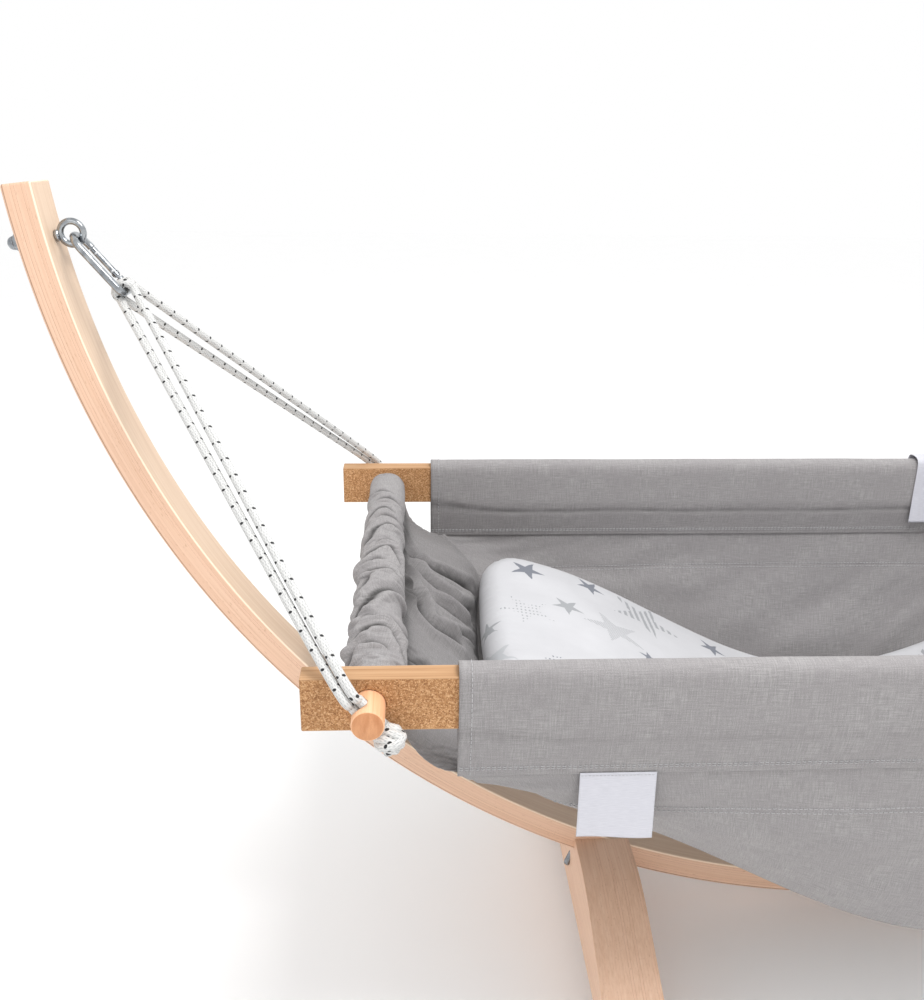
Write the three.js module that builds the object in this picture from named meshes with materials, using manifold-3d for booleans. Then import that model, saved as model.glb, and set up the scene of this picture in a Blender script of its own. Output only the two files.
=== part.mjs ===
// Hanging baby cradle: a fabric sling on two rails and two dowels, hung by four
// rope loops and two snap hooks from a bow-shaped laminated stand.
// Frame: millimetres, +Z up, +X along the cradle, origin on the floor under its middle.
import * as THREE from "three";
import { mergeVertices } from "three/addons/utils/BufferGeometryUtils.js";
import Module from "manifold-3d";

const wasm = await Module();
wasm.setup();

// ---- Driving dimensions -------------------------------------------------
const GAP = 0.3; // between pieces that touch
const SEAT_GAP = 0.6; // between the bow's faceted inner face and what rests on it
const BOW = { outerR: 878, thick: 27, width: 46, lift: 20, endTilt: 7.1, eyeTilt: 10.3 };
const RAIL = { length: 1216, height: 45, thick: 20, spacing: 510, drop: 471, chamfer: 1.5 };
const DOWEL = { r: 12.5, fromEnd: 52, proud: 30, holeR: 7.75, holeFromRail: 16 };
const FOOT = { x: 315, length: 600, width: 60, top: 104, endTop: 42, arch: 24 };
const PAD = { r: 15, height: 4, y: 268 };
const BOLT = { r: 4, clear: 0.35, headR: 9, headH: 4 };
const PLATE = { arcDeg: 12.4, width: 38, thick: 4 };
const EYE = { ringR: 10, wireR: 3, standOff: 15 };
const HOOK = { reach: 66.2, wireR: 3.5, halfWidth: 13.2, cornerR: 6, gateFrom: 19, gateTo: 51, pinAt: 48 };
const ROPE = { r: 3.75, bendR: 8.25, apart: 3.95, side: 4.3, railBend: 42 };
const KNOT = { r: 12, stemR: 7.3 };
const SLING = { sag: 289.3, rise: 156, halfLength: 451, thick: 2.5, seamDrop: 69 };
const POCKET = { near: [-488, 492], far: [-500, 488], wall: 1.6, slack: 2.5 };
const MATTRESS = { length: 896, width: 400, thick: 57 };
const SLEEVE = { innerR: 13, outerR: 21, halfLength: 243 };
const HANG_LABEL = { x: [-390.5, -328.5], thick: 0.8, drop: 62 };
const FOLD_LABEL = { x: [115, 161], thick: 0.9, drop: 60 };

// ---- Derived places -----------------------------------------------------
const rad = THREE.MathUtils.degToRad;
const bowZ = BOW.outerR + BOW.lift; // height of the bow's centre of curvature
const innerR = BOW.outerR - BOW.thick;
const railZ = bowZ - RAIL.drop;
const railY = RAIL.spacing / 2;
const railFace = railY + RAIL.thick / 2; // outer face of a rail
const dowelX = RAIL.length / 2 - DOWEL.fromEnd;
const holeY = railFace + DOWEL.holeFromRail;
const eyeR = innerR - EYE.standOff;
const eyeX = eyeR * Math.cos(rad(BOW.eyeTilt));
const eye = new THREE.Vector3(-eyeX, 0, bowZ - eyeR * Math.sin(rad(BOW.eyeTilt)));
const pull = new THREE.Vector3(-dowelX, 0, railZ).sub(eye).normalize(); // from eye to dowel, left end
const hookTilt = Math.atan2(-pull.z, pull.x);
const side = new THREE.Vector3(-pull.z, 0, pull.x); // across the hook's plane
const hookTop = EYE.ringR - EYE.wireR - HOOK.wireR - GAP;

// ---- Materials ----------------------------------------------------------
function paint(color, roughness, metalness = 0) {
  return new THREE.MeshStandardMaterial({ color, roughness, metalness });
}

const BEECH = paint(0xe6c3a2, 0.55);
const BOARD = paint(0xb07a45, 0.8);
const DOWEL_WOOD = paint(0xe0a377, 0.5);
const ZINC = paint(0xb9bdbf, 0.3, 1);
const ROPE_WHITE = paint(0xf0f0ee, 0.85);
const CANVAS = paint(0x9a9797, 0.95);
const COTTON = paint(0xf3f3f4, 0.9);
const SATIN = paint(0xd9d9e2, 0.45);
const FELT = paint(0x6a655f, 1);

// ---- Helpers ------------------------------------------------------------
const group = new THREE.Group();

function add(name, geometry, material, parent = group) {
  const mesh = new THREE.Mesh(geometry, material);
  mesh.name = name;
  parent.add(mesh);
  return mesh;
}

function toSolid(geometry) {
  const bare = geometry.clone();
  for (const name of Object.keys(bare.attributes)) {
    if (name !== "position") bare.deleteAttribute(name);
  }
  const merged = mergeVertices(bare, 1e-3);
  return new wasm.Manifold(
    new wasm.Mesh({
      numProp: 3,
      vertProperties: new Float32Array(merged.attributes.position.array),
      triVerts: new Uint32Array(merged.index.array),
    }),
  );
}

function toGeometry(solid) {
  const mesh = solid.getMesh();
  const geometry = new THREE.BufferGeometry();
  geometry.setAttribute("position", new THREE.BufferAttribute(new Float32Array(mesh.vertProperties), 3));
  geometry.setIndex(new THREE.BufferAttribute(new Uint32Array(mesh.triVerts), 1));
  geometry.computeVertexNormals();
  return geometry;
}

function cut(geometry, ...tools) {
  return toGeometry(tools.reduce((rest, tool) => rest.subtract(toSolid(tool)), toSolid(geometry)));
}

const join = (...parts) => toGeometry(parts.map(toSolid).reduce((a, b) => a.add(b)));

function shapeOf(points) {
  return new THREE.Shape(points.map(([a, b]) => new THREE.Vector2(a, b)));
}

// A (y, z) outline drawn out from x0 to x1.
function alongX(shape, x0, x1, curveSegments = 12) {
  const geometry = new THREE.ExtrudeGeometry(shape, { depth: x1 - x0, bevelEnabled: false, curveSegments });
  const turn = new THREE.Matrix4().makeBasis(
    new THREE.Vector3(0, 1, 0),
    new THREE.Vector3(0, 0, 1),
    new THREE.Vector3(1, 0, 0),
  );
  return geometry.applyMatrix4(turn).translate(x0, 0, 0);
}

// An (x, z) outline drawn out from -halfWidth to halfWidth along y.
function alongY(shape, halfWidth, curveSegments = 12) {
  const settings = { depth: 2 * halfWidth, bevelEnabled: false, curveSegments };
  const geometry = new THREE.ExtrudeGeometry(shape, settings);
  return geometry.rotateX(Math.PI / 2).translate(0, halfWidth, 0);
}

// A cylinder of radius r from a to b.
function rod(a, b, r, sides = 20) {
  const along = new THREE.Vector3().subVectors(b, a);
  const geometry = new THREE.CylinderGeometry(r, r, along.length(), sides);
  const turn = new THREE.Quaternion();
  turn.setFromUnitVectors(new THREE.Vector3(0, 1, 0), along.clone().normalize());
  const middle = new THREE.Vector3().addVectors(a, b).multiplyScalar(0.5);
  return geometry.applyQuaternion(turn).translate(middle.x, middle.y, middle.z);
}

// A profile of (radius, height) points turned about a line that starts at `at` and runs along `axis`.
function turned(points, at, axis, sides = 24) {
  const outline = points.map(([r, h]) => new THREE.Vector2(r, h));
  const geometry = new THREE.LatheGeometry(outline, sides);
  const turn = new THREE.Quaternion().setFromUnitVectors(new THREE.Vector3(0, 1, 0), axis);
  return geometry.applyQuaternion(turn).translate(at.x, at.y, at.z);
}

// A sheet of even thickness on the surface place(a, b), with a and b from 0 to 1.
function sheet(place, na, nb, thick) {
  const step = 1e-3;
  const positions = [];
  for (const face of [-0.5, 0.5])
    for (let i = 0; i <= na; i++)
      for (let j = 0; j <= nb; j++) {
        const a = i / na;
        const b = j / nb;
        const da = place(Math.min(1, a + step), b).sub(place(Math.max(0, a - step), b));
        const db = place(a, Math.min(1, b + step)).sub(place(a, Math.max(0, b - step)));
        const normal = da.cross(db).normalize();
        positions.push(...place(a, b).addScaledVector(normal, face * thick).toArray());
      }
  const at = (face, i, j) => face * (na + 1) * (nb + 1) + i * (nb + 1) + j;
  const faces = [];
  const quad = (p, q, r, s) => faces.push(p, q, r, p, r, s);
  for (let i = 0; i < na; i++)
    for (let j = 0; j < nb; j++) {
      quad(at(1, i, j), at(1, i + 1, j), at(1, i + 1, j + 1), at(1, i, j + 1));
      quad(at(0, i, j), at(0, i, j + 1), at(0, i + 1, j + 1), at(0, i + 1, j));
    }
  for (let i = 0; i < na; i++) {
    quad(at(0, i, 0), at(0, i + 1, 0), at(1, i + 1, 0), at(1, i, 0));
    quad(at(0, i, nb), at(1, i, nb), at(1, i + 1, nb), at(0, i + 1, nb));
  }
  for (let j = 0; j < nb; j++) {
    quad(at(0, 0, j), at(1, 0, j), at(1, 0, j + 1), at(0, 0, j + 1));
    quad(at(0, na, j), at(0, na, j + 1), at(1, na, j + 1), at(1, na, j));
  }
  const geometry = new THREE.BufferGeometry();
  geometry.setAttribute("position", new THREE.Float32BufferAttribute(positions, 3));
  geometry.setIndex(faces);
  geometry.computeVertexNormals();
  return geometry;
}

// Point at radius r of the bow, tilt degrees down from the level of its centre; end is -1 or 1.
function onBow(r, tilt, end, y = 0) {
  return new THREE.Vector3(end * r * Math.cos(rad(tilt)), y, bowZ - r * Math.sin(rad(tilt)));
}

const inward = (tilt, end) => onBow(1, tilt, end).sub(new THREE.Vector3(0, 0, bowZ)).negate();

// ---- The bow-shaped stand -----------------------------------------------
// Part of the bow between two tilts, from radius r0 to r1.
function bowPiece(r0, r1, tilt0, tilt1, halfWidth, segments) {
  const shape = new THREE.Shape();
  const a0 = Math.PI + rad(tilt0);
  const a1 = Math.PI + rad(tilt1);
  shape.absarc(0, bowZ, r1, a0, a1, false);
  shape.absarc(0, bowZ, r0, a1, a0, true);
  return alongY(shape, halfWidth, segments);
}

const spliceTilts = [84.8, 87.9, 92.1, 95.2];
const footTilt = THREE.MathUtils.radToDeg(Math.acos(FOOT.x / (BOW.outerR - BOW.thick / 2)));
const footBoltTilts = [footTilt - 1, footTilt + 1];

// A straight hole through the bow at that tilt.
const bowHole = (tilt) =>
  rod(onBow(innerR - 10, tilt, -1), onBow(BOW.outerR + 10, tilt, -1), BOLT.r + BOLT.clear, 12);

function bowHalf() {
  const middle = 90 - THREE.MathUtils.radToDeg(GAP / 2 / innerR);
  const piece = bowPiece(innerR, BOW.outerR, BOW.endTilt, middle, BOW.width / 2, 26);
  const holes = [BOW.eyeTilt, ...footBoltTilts, ...spliceTilts.slice(0, 2)].map(bowHole);
  return cut(piece, ...holes);
}

const leftBow = bowHalf();
add("bow_left", leftBow, BEECH);
add("bow_right", mirrored(leftBow, -1, 1), BEECH);

// Steel plate on the bow's inner face that joins the two halves.
const plateTilt = [90 - PLATE.arcDeg / 2, 90 + PLATE.arcDeg / 2];
const plateOuterR = innerR - SEAT_GAP;
add(
  "splice_plate",
  cut(
    bowPiece(plateOuterR - PLATE.thick, plateOuterR, plateTilt[0], plateTilt[1], PLATE.width / 2, 8),
    ...spliceTilts.map(bowHole),
  ),
  ZINC,
);

// A bolt with a low round head; `at` is under the head and `axis` points from the head to the tip.
function domeBolt(at, axis, length) {
  const { r, headR, headH } = BOLT;
  const head = [
    [0, -headH],
    [headR * 0.55, -headH * 0.85],
    [headR * 0.88, -headH * 0.45],
    [headR, 0],
  ];
  return turned([...head, [r, 0], [r, length - 0.6], [r - 0.6, length], [0, length]], at, axis, 12);
}

// A closed hexagonal nut with a domed end; `at` is its seat and `axis` points out of the dome.
function capNut(at, axis) {
  const flats = 13;
  const hex = turned([[0, 0], [flats / 1.732, 0], [flats / 1.732, 7], [0, 7]], at, axis, 6);
  const top = at.clone().addScaledVector(axis, 6.8);
  const dome = turned(
    [[0, 0], [6.2, 0], [6, 2.8], [4.3, 5.6], [0, 6.9]],
    top,
    axis,
    12,
  );
  const boreFrom = at.clone().addScaledVector(axis, -1);
  const boreTo = at.clone().addScaledVector(axis, 10);
  const bore = rod(boreFrom, boreTo, BOLT.r + BOLT.clear, 12);
  return cut(join(hex, dome), bore);
}

// A flat washer whose seat is at `at`; `axis` points away from the seat.
function washer(at, axis, r = 9) {
  const bore = BOLT.r + BOLT.clear;
  return turned([[bore, 0], [r, 0], [r, 1.4], [bore, 1.4], [bore, 0]], at, axis, 16);
}

spliceTilts.forEach((tilt, i) => {
  const up = inward(tilt, -1);
  const seat = onBow(BOW.outerR + GAP, tilt, -1);
  add(`splice_bolt_${i + 1}`, domeBolt(seat, up, BOW.thick + PLATE.thick + 9), ZINC);
  const nutSeat = onBow(plateOuterR - PLATE.thick - GAP, tilt, -1);
  add(`splice_nut_${i + 1}`, capNut(nutSeat, up), ZINC);
});

// ---- Cross feet ---------------------------------------------------------
const ENDS = [
  ["left", -1],
  ["right", 1],
];

function footSolid(end) {
  const half = FOOT.length / 2;
  const base = PAD.height + GAP;
  const shape = new THREE.Shape();
  shape.moveTo(-half, base);
  shape.lineTo(-half + 70, base);
  shape.quadraticCurveTo(-half + 95, FOOT.arch, -half + 140, FOOT.arch);
  shape.lineTo(half - 140, FOOT.arch);
  shape.quadraticCurveTo(half - 95, FOOT.arch, half - 70, base);
  shape.lineTo(half, base);
  shape.lineTo(half, FOOT.endTop - 8);
  shape.quadraticCurveTo(half, FOOT.endTop, half - 10, FOOT.endTop);
  shape.bezierCurveTo(half - 90, FOOT.endTop + 4, 130, FOOT.top, 62, FOOT.top);
  shape.lineTo(-62, FOOT.top);
  shape.bezierCurveTo(-130, FOOT.top, -half + 90, FOOT.endTop + 4, -half + 10, FOOT.endTop);
  shape.quadraticCurveTo(-half, FOOT.endTop, -half, FOOT.endTop - 8);
  const beam = alongX(shape, end * FOOT.x - FOOT.width / 2, end * FOOT.x + FOOT.width / 2, 8);
  // The seat: everything above the bow's outer face, across its width.
  const seat = new THREE.CylinderGeometry(BOW.outerR + GAP, BOW.outerR + GAP, BOW.width + 2 * GAP, 240);
  seat.translate(0, 0, bowZ);
  const holes = footBoltTilts.map((tilt) =>
    rod(onBow(BOW.outerR - 5, tilt, end), onBow(BOW.outerR + 39, tilt, end), BOLT.r + BOLT.clear, 12),
  );
  return cut(beam, seat, ...holes);
}

for (const [name, end] of ENDS) {
  add(`foot_${name}`, footSolid(end), BEECH);
  footBoltTilts.forEach((tilt, i) => {
    const head = onBow(innerR - SEAT_GAP, tilt, end);
    add(`foot_bolt_${name}_${i + 1}`, domeBolt(head, inward(tilt, end).negate(), BOW.thick + 38), ZINC);
  });
  for (const [sideName, y] of [
    ["near", -PAD.y],
    ["far", PAD.y],
  ]) {
    const at = new THREE.Vector3(end * FOOT.x, y, 0);
    const disc = [[0, 0], [PAD.r, 0], [PAD.r, PAD.height], [0, PAD.height]];
    add(`foot_pad_${name}_${sideName}`, turned(disc, at, new THREE.Vector3(0, 0, 1), 16), FELT);
  }
}

// ---- Eye bolts ----------------------------------------------------------
for (const [name, end] of ENDS) {
  const centre = onBow(eyeR, BOW.eyeTilt, end);
  const outward = inward(BOW.eyeTilt, end).negate();
  const ring = new THREE.TorusGeometry(EYE.ringR, EYE.wireR, 8, 24).rotateX(Math.PI / 2);
  ring.translate(centre.x, centre.y, centre.z);
  const outerFace = onBow(BOW.outerR, BOW.eyeTilt, end);
  const shankFrom = centre.clone().addScaledVector(outward, EYE.ringR);
  const shank = rod(shankFrom, outerFace.clone().addScaledVector(outward, 10), BOLT.r, 12);
  add(`eye_bolt_${name}`, join(ring, shank), ZINC);
  const seat = outerFace.clone().addScaledVector(outward, GAP);
  add(`eye_washer_${name}`, washer(seat, outward), ZINC);
  add(`eye_nut_${name}`, capNut(seat.clone().addScaledVector(outward, 1.4 + GAP), outward), ZINC);
}

// ---- Snap hooks ---------------------------------------------------------
// Hook frame: +x from the eye towards the cradle, y across, z normal to the hook's plane.
function hookBody() {
  const { reach, wireR, halfWidth: w, cornerR: c, gateFrom, gateTo, pinAt } = HOOK;
  const bend = (cx, cy, r, from, to, steps) =>
    Array.from({ length: steps + 1 }, (_, i) => {
      const a = from + ((to - from) * i) / steps;
      return new THREE.Vector3(cx + r * Math.cos(a), cy + r * Math.sin(a), 0);
    });
  const quarter = Math.PI / 2;
  const route = [
    new THREE.Vector3(gateFrom - 0.5, w, 0),
    ...bend(hookTop + w, 0, w, quarter, 3 * quarter, 10),
    ...bend(reach - c, -w + c, c, -quarter, 0, 4),
    ...bend(reach - c, w - c, c, 0, quarter, 4),
    new THREE.Vector3(gateTo + 1.7, w, 0),
  ];
  const wire = roundBar(route, wireR, 10, new THREE.Vector3(0, 0, 1));
  const tongue = (x0, x1) => new THREE.BoxGeometry(x1 - x0, 4.4, 2.2).translate((x0 + x1) / 2, w, 0);
  const nose = tongue(gateFrom - 2, gateFrom + 4.4);
  return cut(join(wire, nose, tongue(pinAt - 2.6, gateTo + 4)), pinHole());
}

const pinHole = () => {
  const { pinAt, halfWidth } = HOOK;
  return rod(new THREE.Vector3(pinAt, halfWidth, -6), new THREE.Vector3(pinAt, halfWidth, 6), 1.35, 10);
};

// A round bar or rope of radius r along a list of points, mitred at its corners.
// `across` is any direction that is square to its first stretch.
function roundBar(points, r, sides, across) {
  const positions = [];
  const carried = across.clone();
  points.forEach((p, i) => {
    const before = points[Math.max(0, i - 1)];
    const after = points[Math.min(points.length - 1, i + 1)];
    const into = new THREE.Vector3().subVectors(p, before).normalize();
    const out = new THREE.Vector3().subVectors(after, p).normalize();
    const tangent = into.add(out).normalize();
    carried.addScaledVector(tangent, -carried.dot(tangent)).normalize();
    const other = new THREE.Vector3().crossVectors(tangent, carried);
    for (let k = 0; k < sides; k++) {
      const a = (2 * Math.PI * k) / sides;
      const spoke = carried.clone().multiplyScalar(Math.cos(a)).addScaledVector(other, Math.sin(a));
      positions.push(...spoke.multiplyScalar(r).add(p).toArray());
    }
  });
  const faces = [];
  const last = (points.length - 1) * sides;
  for (let ring = 0; ring < last; ring += sides)
    for (let k = 0; k < sides; k++) {
      const [a, b] = [ring + k, ring + ((k + 1) % sides)];
      faces.push(a, b, b + sides, a, b + sides, a + sides);
    }
  for (let k = 1; k < sides - 1; k++) faces.push(0, k + 1, k, last, last + k, last + k + 1);
  const geometry = new THREE.BufferGeometry();
  geometry.setAttribute("position", new THREE.Float32BufferAttribute(positions, 3));
  geometry.setIndex(faces);
  geometry.computeVertexNormals();
  return geometry;
}

function gate() {
  const { gateFrom, gateTo, pinAt, halfWidth: w } = HOOK;
  const gateBar = rod(new THREE.Vector3(gateFrom, w, 0), new THREE.Vector3(gateTo, w, 0), 3, 12);
  const slot = (x0, x1) => new THREE.BoxGeometry(x1 - x0, 9, 2.9).translate((x0 + x1) / 2, w, 0);
  return cut(gateBar, slot(gateFrom - 1, gateFrom + 6.2), slot(pinAt - 4.6, gateTo + 1), pinHole());
}

for (const [name, end] of ENDS) {
  const hook = new THREE.Group();
  hook.position.copy(onBow(eyeR, BOW.eyeTilt, end));
  hook.rotation.y = end < 0 ? hookTilt : Math.PI - hookTilt;
  group.add(hook);
  add(`hook_${name}`, hookBody(), ZINC, hook);
  add(`gate_${name}`, gate(), ZINC, hook);
  const { pinAt, halfWidth } = HOOK;
  const pinFrom = new THREE.Vector3(pinAt, halfWidth, -3.3);
  const pinTo = new THREE.Vector3(pinAt, halfWidth, 3.3);
  add(`gate_pin_${name}`, rod(pinFrom, pinTo, 1.05, 10), ZINC, hook);
}

// ---- Ropes and knots ----------------------------------------------------
// Each loop runs from a dowel end over the bar of the hook and back, as two strands side by side.
const bar = eye.clone().addScaledVector(pull, HOOK.reach);
const holeCentre = new THREE.Vector3(-dowelX, -holeY, railZ);

// One strand of the near left loop, from the dowel to the hook; lean is -1 or 1.
function strand(lean) {
  const at = (y, fromDowel, apart) => {
    const middle = new THREE.Vector3(-dowelX, y, railZ).addScaledVector(pull, -fromDowel);
    return middle.addScaledVector(side, lean * apart);
  };
  const link = bar.distanceTo(new THREE.Vector3(-dowelX, 0, railZ));
  const overRail = at(-railFace - ROPE.r - 0.75, ROPE.railBend, ROPE.apart + 0.2);
  const atHook = at(-ROPE.side - 5, link - 9, ROPE.bendR - 0.2);
  const between = overRail.clone().lerp(atHook, 0.5);
  return [at(-holeY, DOWEL.r + 1, ROPE.apart), overRail, between, atHook];
}

function ropeLoop() {
  const steps = 8;
  const round = Array.from({ length: steps + 1 }, (_, i) => {
    const a = (Math.PI * i) / steps;
    const p = bar.clone().add(new THREE.Vector3(0, -ROPE.side, 0));
    p.addScaledVector(side, -ROPE.bendR * Math.cos(a));
    return p.addScaledVector(pull, -ROPE.bendR * Math.sin(a));
  });
  return roundBar([...strand(-1), ...round, ...strand(1).reverse()], ROPE.r, 8, side);
}

// Both strands' ends: through the dowel's hole and into the knot under it.
function knot() {
  const at = (along) => holeCentre.clone().addScaledVector(pull, along);
  const middle = at(DOWEL.r + KNOT.r + 0.5);
  const ball = new THREE.SphereGeometry(KNOT.r, 12, 8).translate(middle.x, middle.y, middle.z);
  return join(rod(at(-DOWEL.r + 1), middle, KNOT.stemR, 12), ball);
}

// Mirrors a closed geometry in x or y, turning its faces back round.
function mirrored(geometry, sx, sy) {
  const copy = geometry.clone().scale(sx, sy, 1);
  if (sx * sy < 0) copy.setIndex(Array.from(copy.index.array).reverse());
  copy.computeVertexNormals();
  return copy;
}

const SIDES = [
  ["near", -1],
  ["far", 1],
];
const rope = ropeLoop();
const ropeKnot = knot();
for (const [name, end] of ENDS)
  for (const [sideName, s] of SIDES) {
    add(`rope_${name}_${sideName}`, mirrored(rope, -end, -s), ROPE_WHITE);
    add(`knot_${name}_${sideName}`, mirrored(ropeKnot, -end, -s), ROPE_WHITE);
  }

// ---- Cradle frame: rails and dowels -------------------------------------
function chamferedBox(halfY, halfZ, c) {
  return shapeOf([
    [-halfY + c, -halfZ],
    [halfY - c, -halfZ],
    [halfY, -halfZ + c],
    [halfY, halfZ - c],
    [halfY - c, halfZ],
    [-halfY + c, halfZ],
    [-halfY, halfZ - c],
    [-halfY, -halfZ + c],
  ]);
}

for (const [name, s] of SIDES) {
  const section = chamferedBox(RAIL.thick / 2, RAIL.height / 2, RAIL.chamfer);
  const beam = alongX(section, -RAIL.length / 2, RAIL.length / 2).translate(0, s * railY, railZ);
  const holes = [-dowelX, dowelX].map((x) => {
    const middle = new THREE.Vector3(x, s * railY, railZ);
    const half = new THREE.Vector3(0, 30, 0);
    return rod(middle.clone().sub(half), middle.clone().add(half), DOWEL.r + GAP, 28);
  });
  add(`rail_${name}`, cut(beam, ...holes), BOARD);
}

for (const [name, end] of ENDS) {
  const half = railFace + DOWEL.proud;
  const x = end * dowelX;
  const body = turned(
    [
      [0, -half],
      [DOWEL.r - 1, -half],
      [DOWEL.r, -half + 1],
      [DOWEL.r, half - 1],
      [DOWEL.r - 1, half],
      [0, half],
    ],
    new THREE.Vector3(x, 0, railZ),
    new THREE.Vector3(0, 1, 0),
    28,
  );
  const reach = new THREE.Vector3(end * -pull.x, 0, pull.z).multiplyScalar(20);
  const holes = [-holeY, holeY].map((y) => {
    const at = new THREE.Vector3(x, y, railZ);
    return rod(at.clone().sub(reach), at.clone().add(reach), DOWEL.holeR, 20);
  });
  add(`dowel_${name}`, cut(body, ...holes), DOWEL_WOOD);
}

// ---- Fabric sling -------------------------------------------------------
// Height of the sling's bottom at x.
function slingZ(x) {
  const climb = (1 - Math.cos((Math.PI * x) / SLING.halfLength)) / 2;
  return railZ - SLING.sag + SLING.rise * climb;
}

const seamZ = railZ - SLING.seamDrop;

// Outline in x and z of a layer that follows the sling's bottom, from `low` to `high` above it.
function slingLayer(halfLength, low, high, steps) {
  const points = [];
  for (let i = 0; i <= steps; i++) {
    const x = -halfLength + (2 * halfLength * i) / steps;
    points.push([x, slingZ(x) + low]);
  }
  return shapeOf([...points, ...points.map(([x, z]) => [x, z - low + high]).reverse()]);
}

// A pocket's section: a sleeve round the rail that closes to a flat seam below it.
function pocketSection(s) {
  const { wall, slack } = POCKET;
  const top = railZ + RAIL.height / 2;
  const under = railZ - RAIL.height / 2 - 1;
  const half = RAIL.thick / 2 + 0.4;
  const ring = (grow, bottom, waist) => [
    [-half - grow, top + slack - wall + grow],
    [-half - grow, under],
    [-waist, bottom],
    [waist, bottom],
    [half + grow, under],
    [half + grow, top + slack - wall + grow],
  ];
  const place = (points) => points.map(([y, z]) => [s * railY + y, z]);
  const shape = shapeOf(place(ring(wall, seamZ, 6)));
  shape.holes.push(shapeOf(place(ring(0, seamZ + 7, 4))));
  return shape;
}

for (const [name, s] of SIDES) {
  const [x0, x1] = POCKET[name];
  add(`pocket_${name}`, alongX(pocketSection(s), x0, x1), CANVAS);
  // Side panel: from the pocket's seam down and in to the bottom.
  const panel = (a, b) => {
    const x = SLING.halfLength * (2 * a - 1);
    const bottom = slingZ(x);
    const top = seamZ - 2.2;
    return new THREE.Vector3(x, s * (railY - 48 * b * b), top + (bottom - top) * b);
  };
  add(`side_panel_${name}`, sheet(s < 0 ? panel : (a, b) => panel(1 - a, b), 20, 4, SLING.thick), CANVAS);
}

const bottomHalfWidth = 204;
const bottomLayer = slingLayer(SLING.halfLength, -SLING.thick / 2, SLING.thick / 2, 24);
add("bottom_panel", alongY(bottomLayer, bottomHalfWidth), CANVAS);

// End of the sling: a scoop that rises from the bottom panel to the dowel.
function scoop(end) {
  return (a, b) => {
    const across = 2 * b - 1; // -1 near, 1 far
    const edge = Math.abs(across) ** 5;
    const start = SLING.halfLength + 1.5;
    const x = start + (dowelX - 8 - start) * a ** (1 - 0.35 * edge);
    const low = slingZ(start);
    const middleZ = low + (railZ - SLEEVE.outerR - 2 - low) * a;
    const edgeZ = seamZ - 3 + (railZ - SLEEVE.outerR - 2 - (seamZ - 3)) * a ** 4;
    const y = across * (railY - 8 - 14 * a);
    return new THREE.Vector3(end * x, y, middleZ + (edgeZ - middleZ) * edge);
  };
}

for (const [name, end] of ENDS) {
  const place = scoop(end);
  add(`end_panel_${name}`, sheet(end < 0 ? place : (a, b) => place(a, 1 - b), 6, 14, 3), CANVAS);
  const { innerR: r0, outerR: r1, halfLength: h } = SLEEVE;
  const at = new THREE.Vector3(end * dowelX, 0, railZ);
  const wall = [[r0, -h], [r1, -h], [r1, h], [r0, h], [r0, -h]];
  add(`gathered_sleeve_${name}`, turned(wall, at, new THREE.Vector3(0, 1, 0), 20), CANVAS);
}

// ---- Mattress and labels ------------------------------------------------
const lift = SLING.thick / 2 + 1;
const padLayer = slingLayer(MATTRESS.length / 2, lift, lift + MATTRESS.thick, 20);
add("mattress", alongY(padLayer, MATTRESS.width / 2), COTTON);

const [hx0, hx1] = HANG_LABEL.x;
const hangY = -railY - 2.2 - HANG_LABEL.thick;
add(
  "label_near",
  new THREE.BoxGeometry(hx1 - hx0, HANG_LABEL.thick, HANG_LABEL.drop).translate(
    (hx0 + hx1) / 2,
    hangY,
    seamZ - GAP - HANG_LABEL.drop / 2,
  ),
  SATIN,
);

// Folded label over the far pocket's top edge.
function foldLabelSection() {
  const half = RAIL.thick / 2 + 0.4 + POCKET.wall + GAP;
  const top = railZ + RAIL.height / 2 + POCKET.slack + GAP;
  const low = top - FOLD_LABEL.drop;
  const t = FOLD_LABEL.thick;
  return shapeOf([
    [railY - half - t, low],
    [railY - half, low],
    [railY - half, top],
    [railY + half, top],
    [railY + half, low],
    [railY + half + t, low],
    [railY + half + t, top + t],
    [railY - half - t, top + t],
  ]);
}

add("label_far", alongX(foldLabelSection(), ...FOLD_LABEL.x), SATIN);

export default group;
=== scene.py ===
"""Looks of the hanging baby cradle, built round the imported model. Metres, +Z up."""

import math

import bpy
import bmesh
import numpy as np
from mathutils import Matrix, Vector, noise


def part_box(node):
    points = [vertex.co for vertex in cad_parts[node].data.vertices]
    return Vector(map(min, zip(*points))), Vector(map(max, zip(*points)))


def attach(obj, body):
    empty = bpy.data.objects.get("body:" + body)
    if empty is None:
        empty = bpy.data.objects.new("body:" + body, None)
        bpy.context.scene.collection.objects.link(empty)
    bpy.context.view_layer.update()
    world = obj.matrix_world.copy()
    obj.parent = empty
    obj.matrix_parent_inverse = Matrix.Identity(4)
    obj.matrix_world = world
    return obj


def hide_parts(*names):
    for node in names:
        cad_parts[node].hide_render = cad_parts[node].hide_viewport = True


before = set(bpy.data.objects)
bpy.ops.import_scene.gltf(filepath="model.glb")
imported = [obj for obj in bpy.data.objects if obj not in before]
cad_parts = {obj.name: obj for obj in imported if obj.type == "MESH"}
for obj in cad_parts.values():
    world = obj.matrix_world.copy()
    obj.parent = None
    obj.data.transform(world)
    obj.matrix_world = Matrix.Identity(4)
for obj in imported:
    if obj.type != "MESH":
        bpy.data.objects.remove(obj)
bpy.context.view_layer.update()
MM = 0.001
ENDS = (("left", -1), ("right", 1))
SIDES = (("near", -1), ("far", 1))

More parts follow.
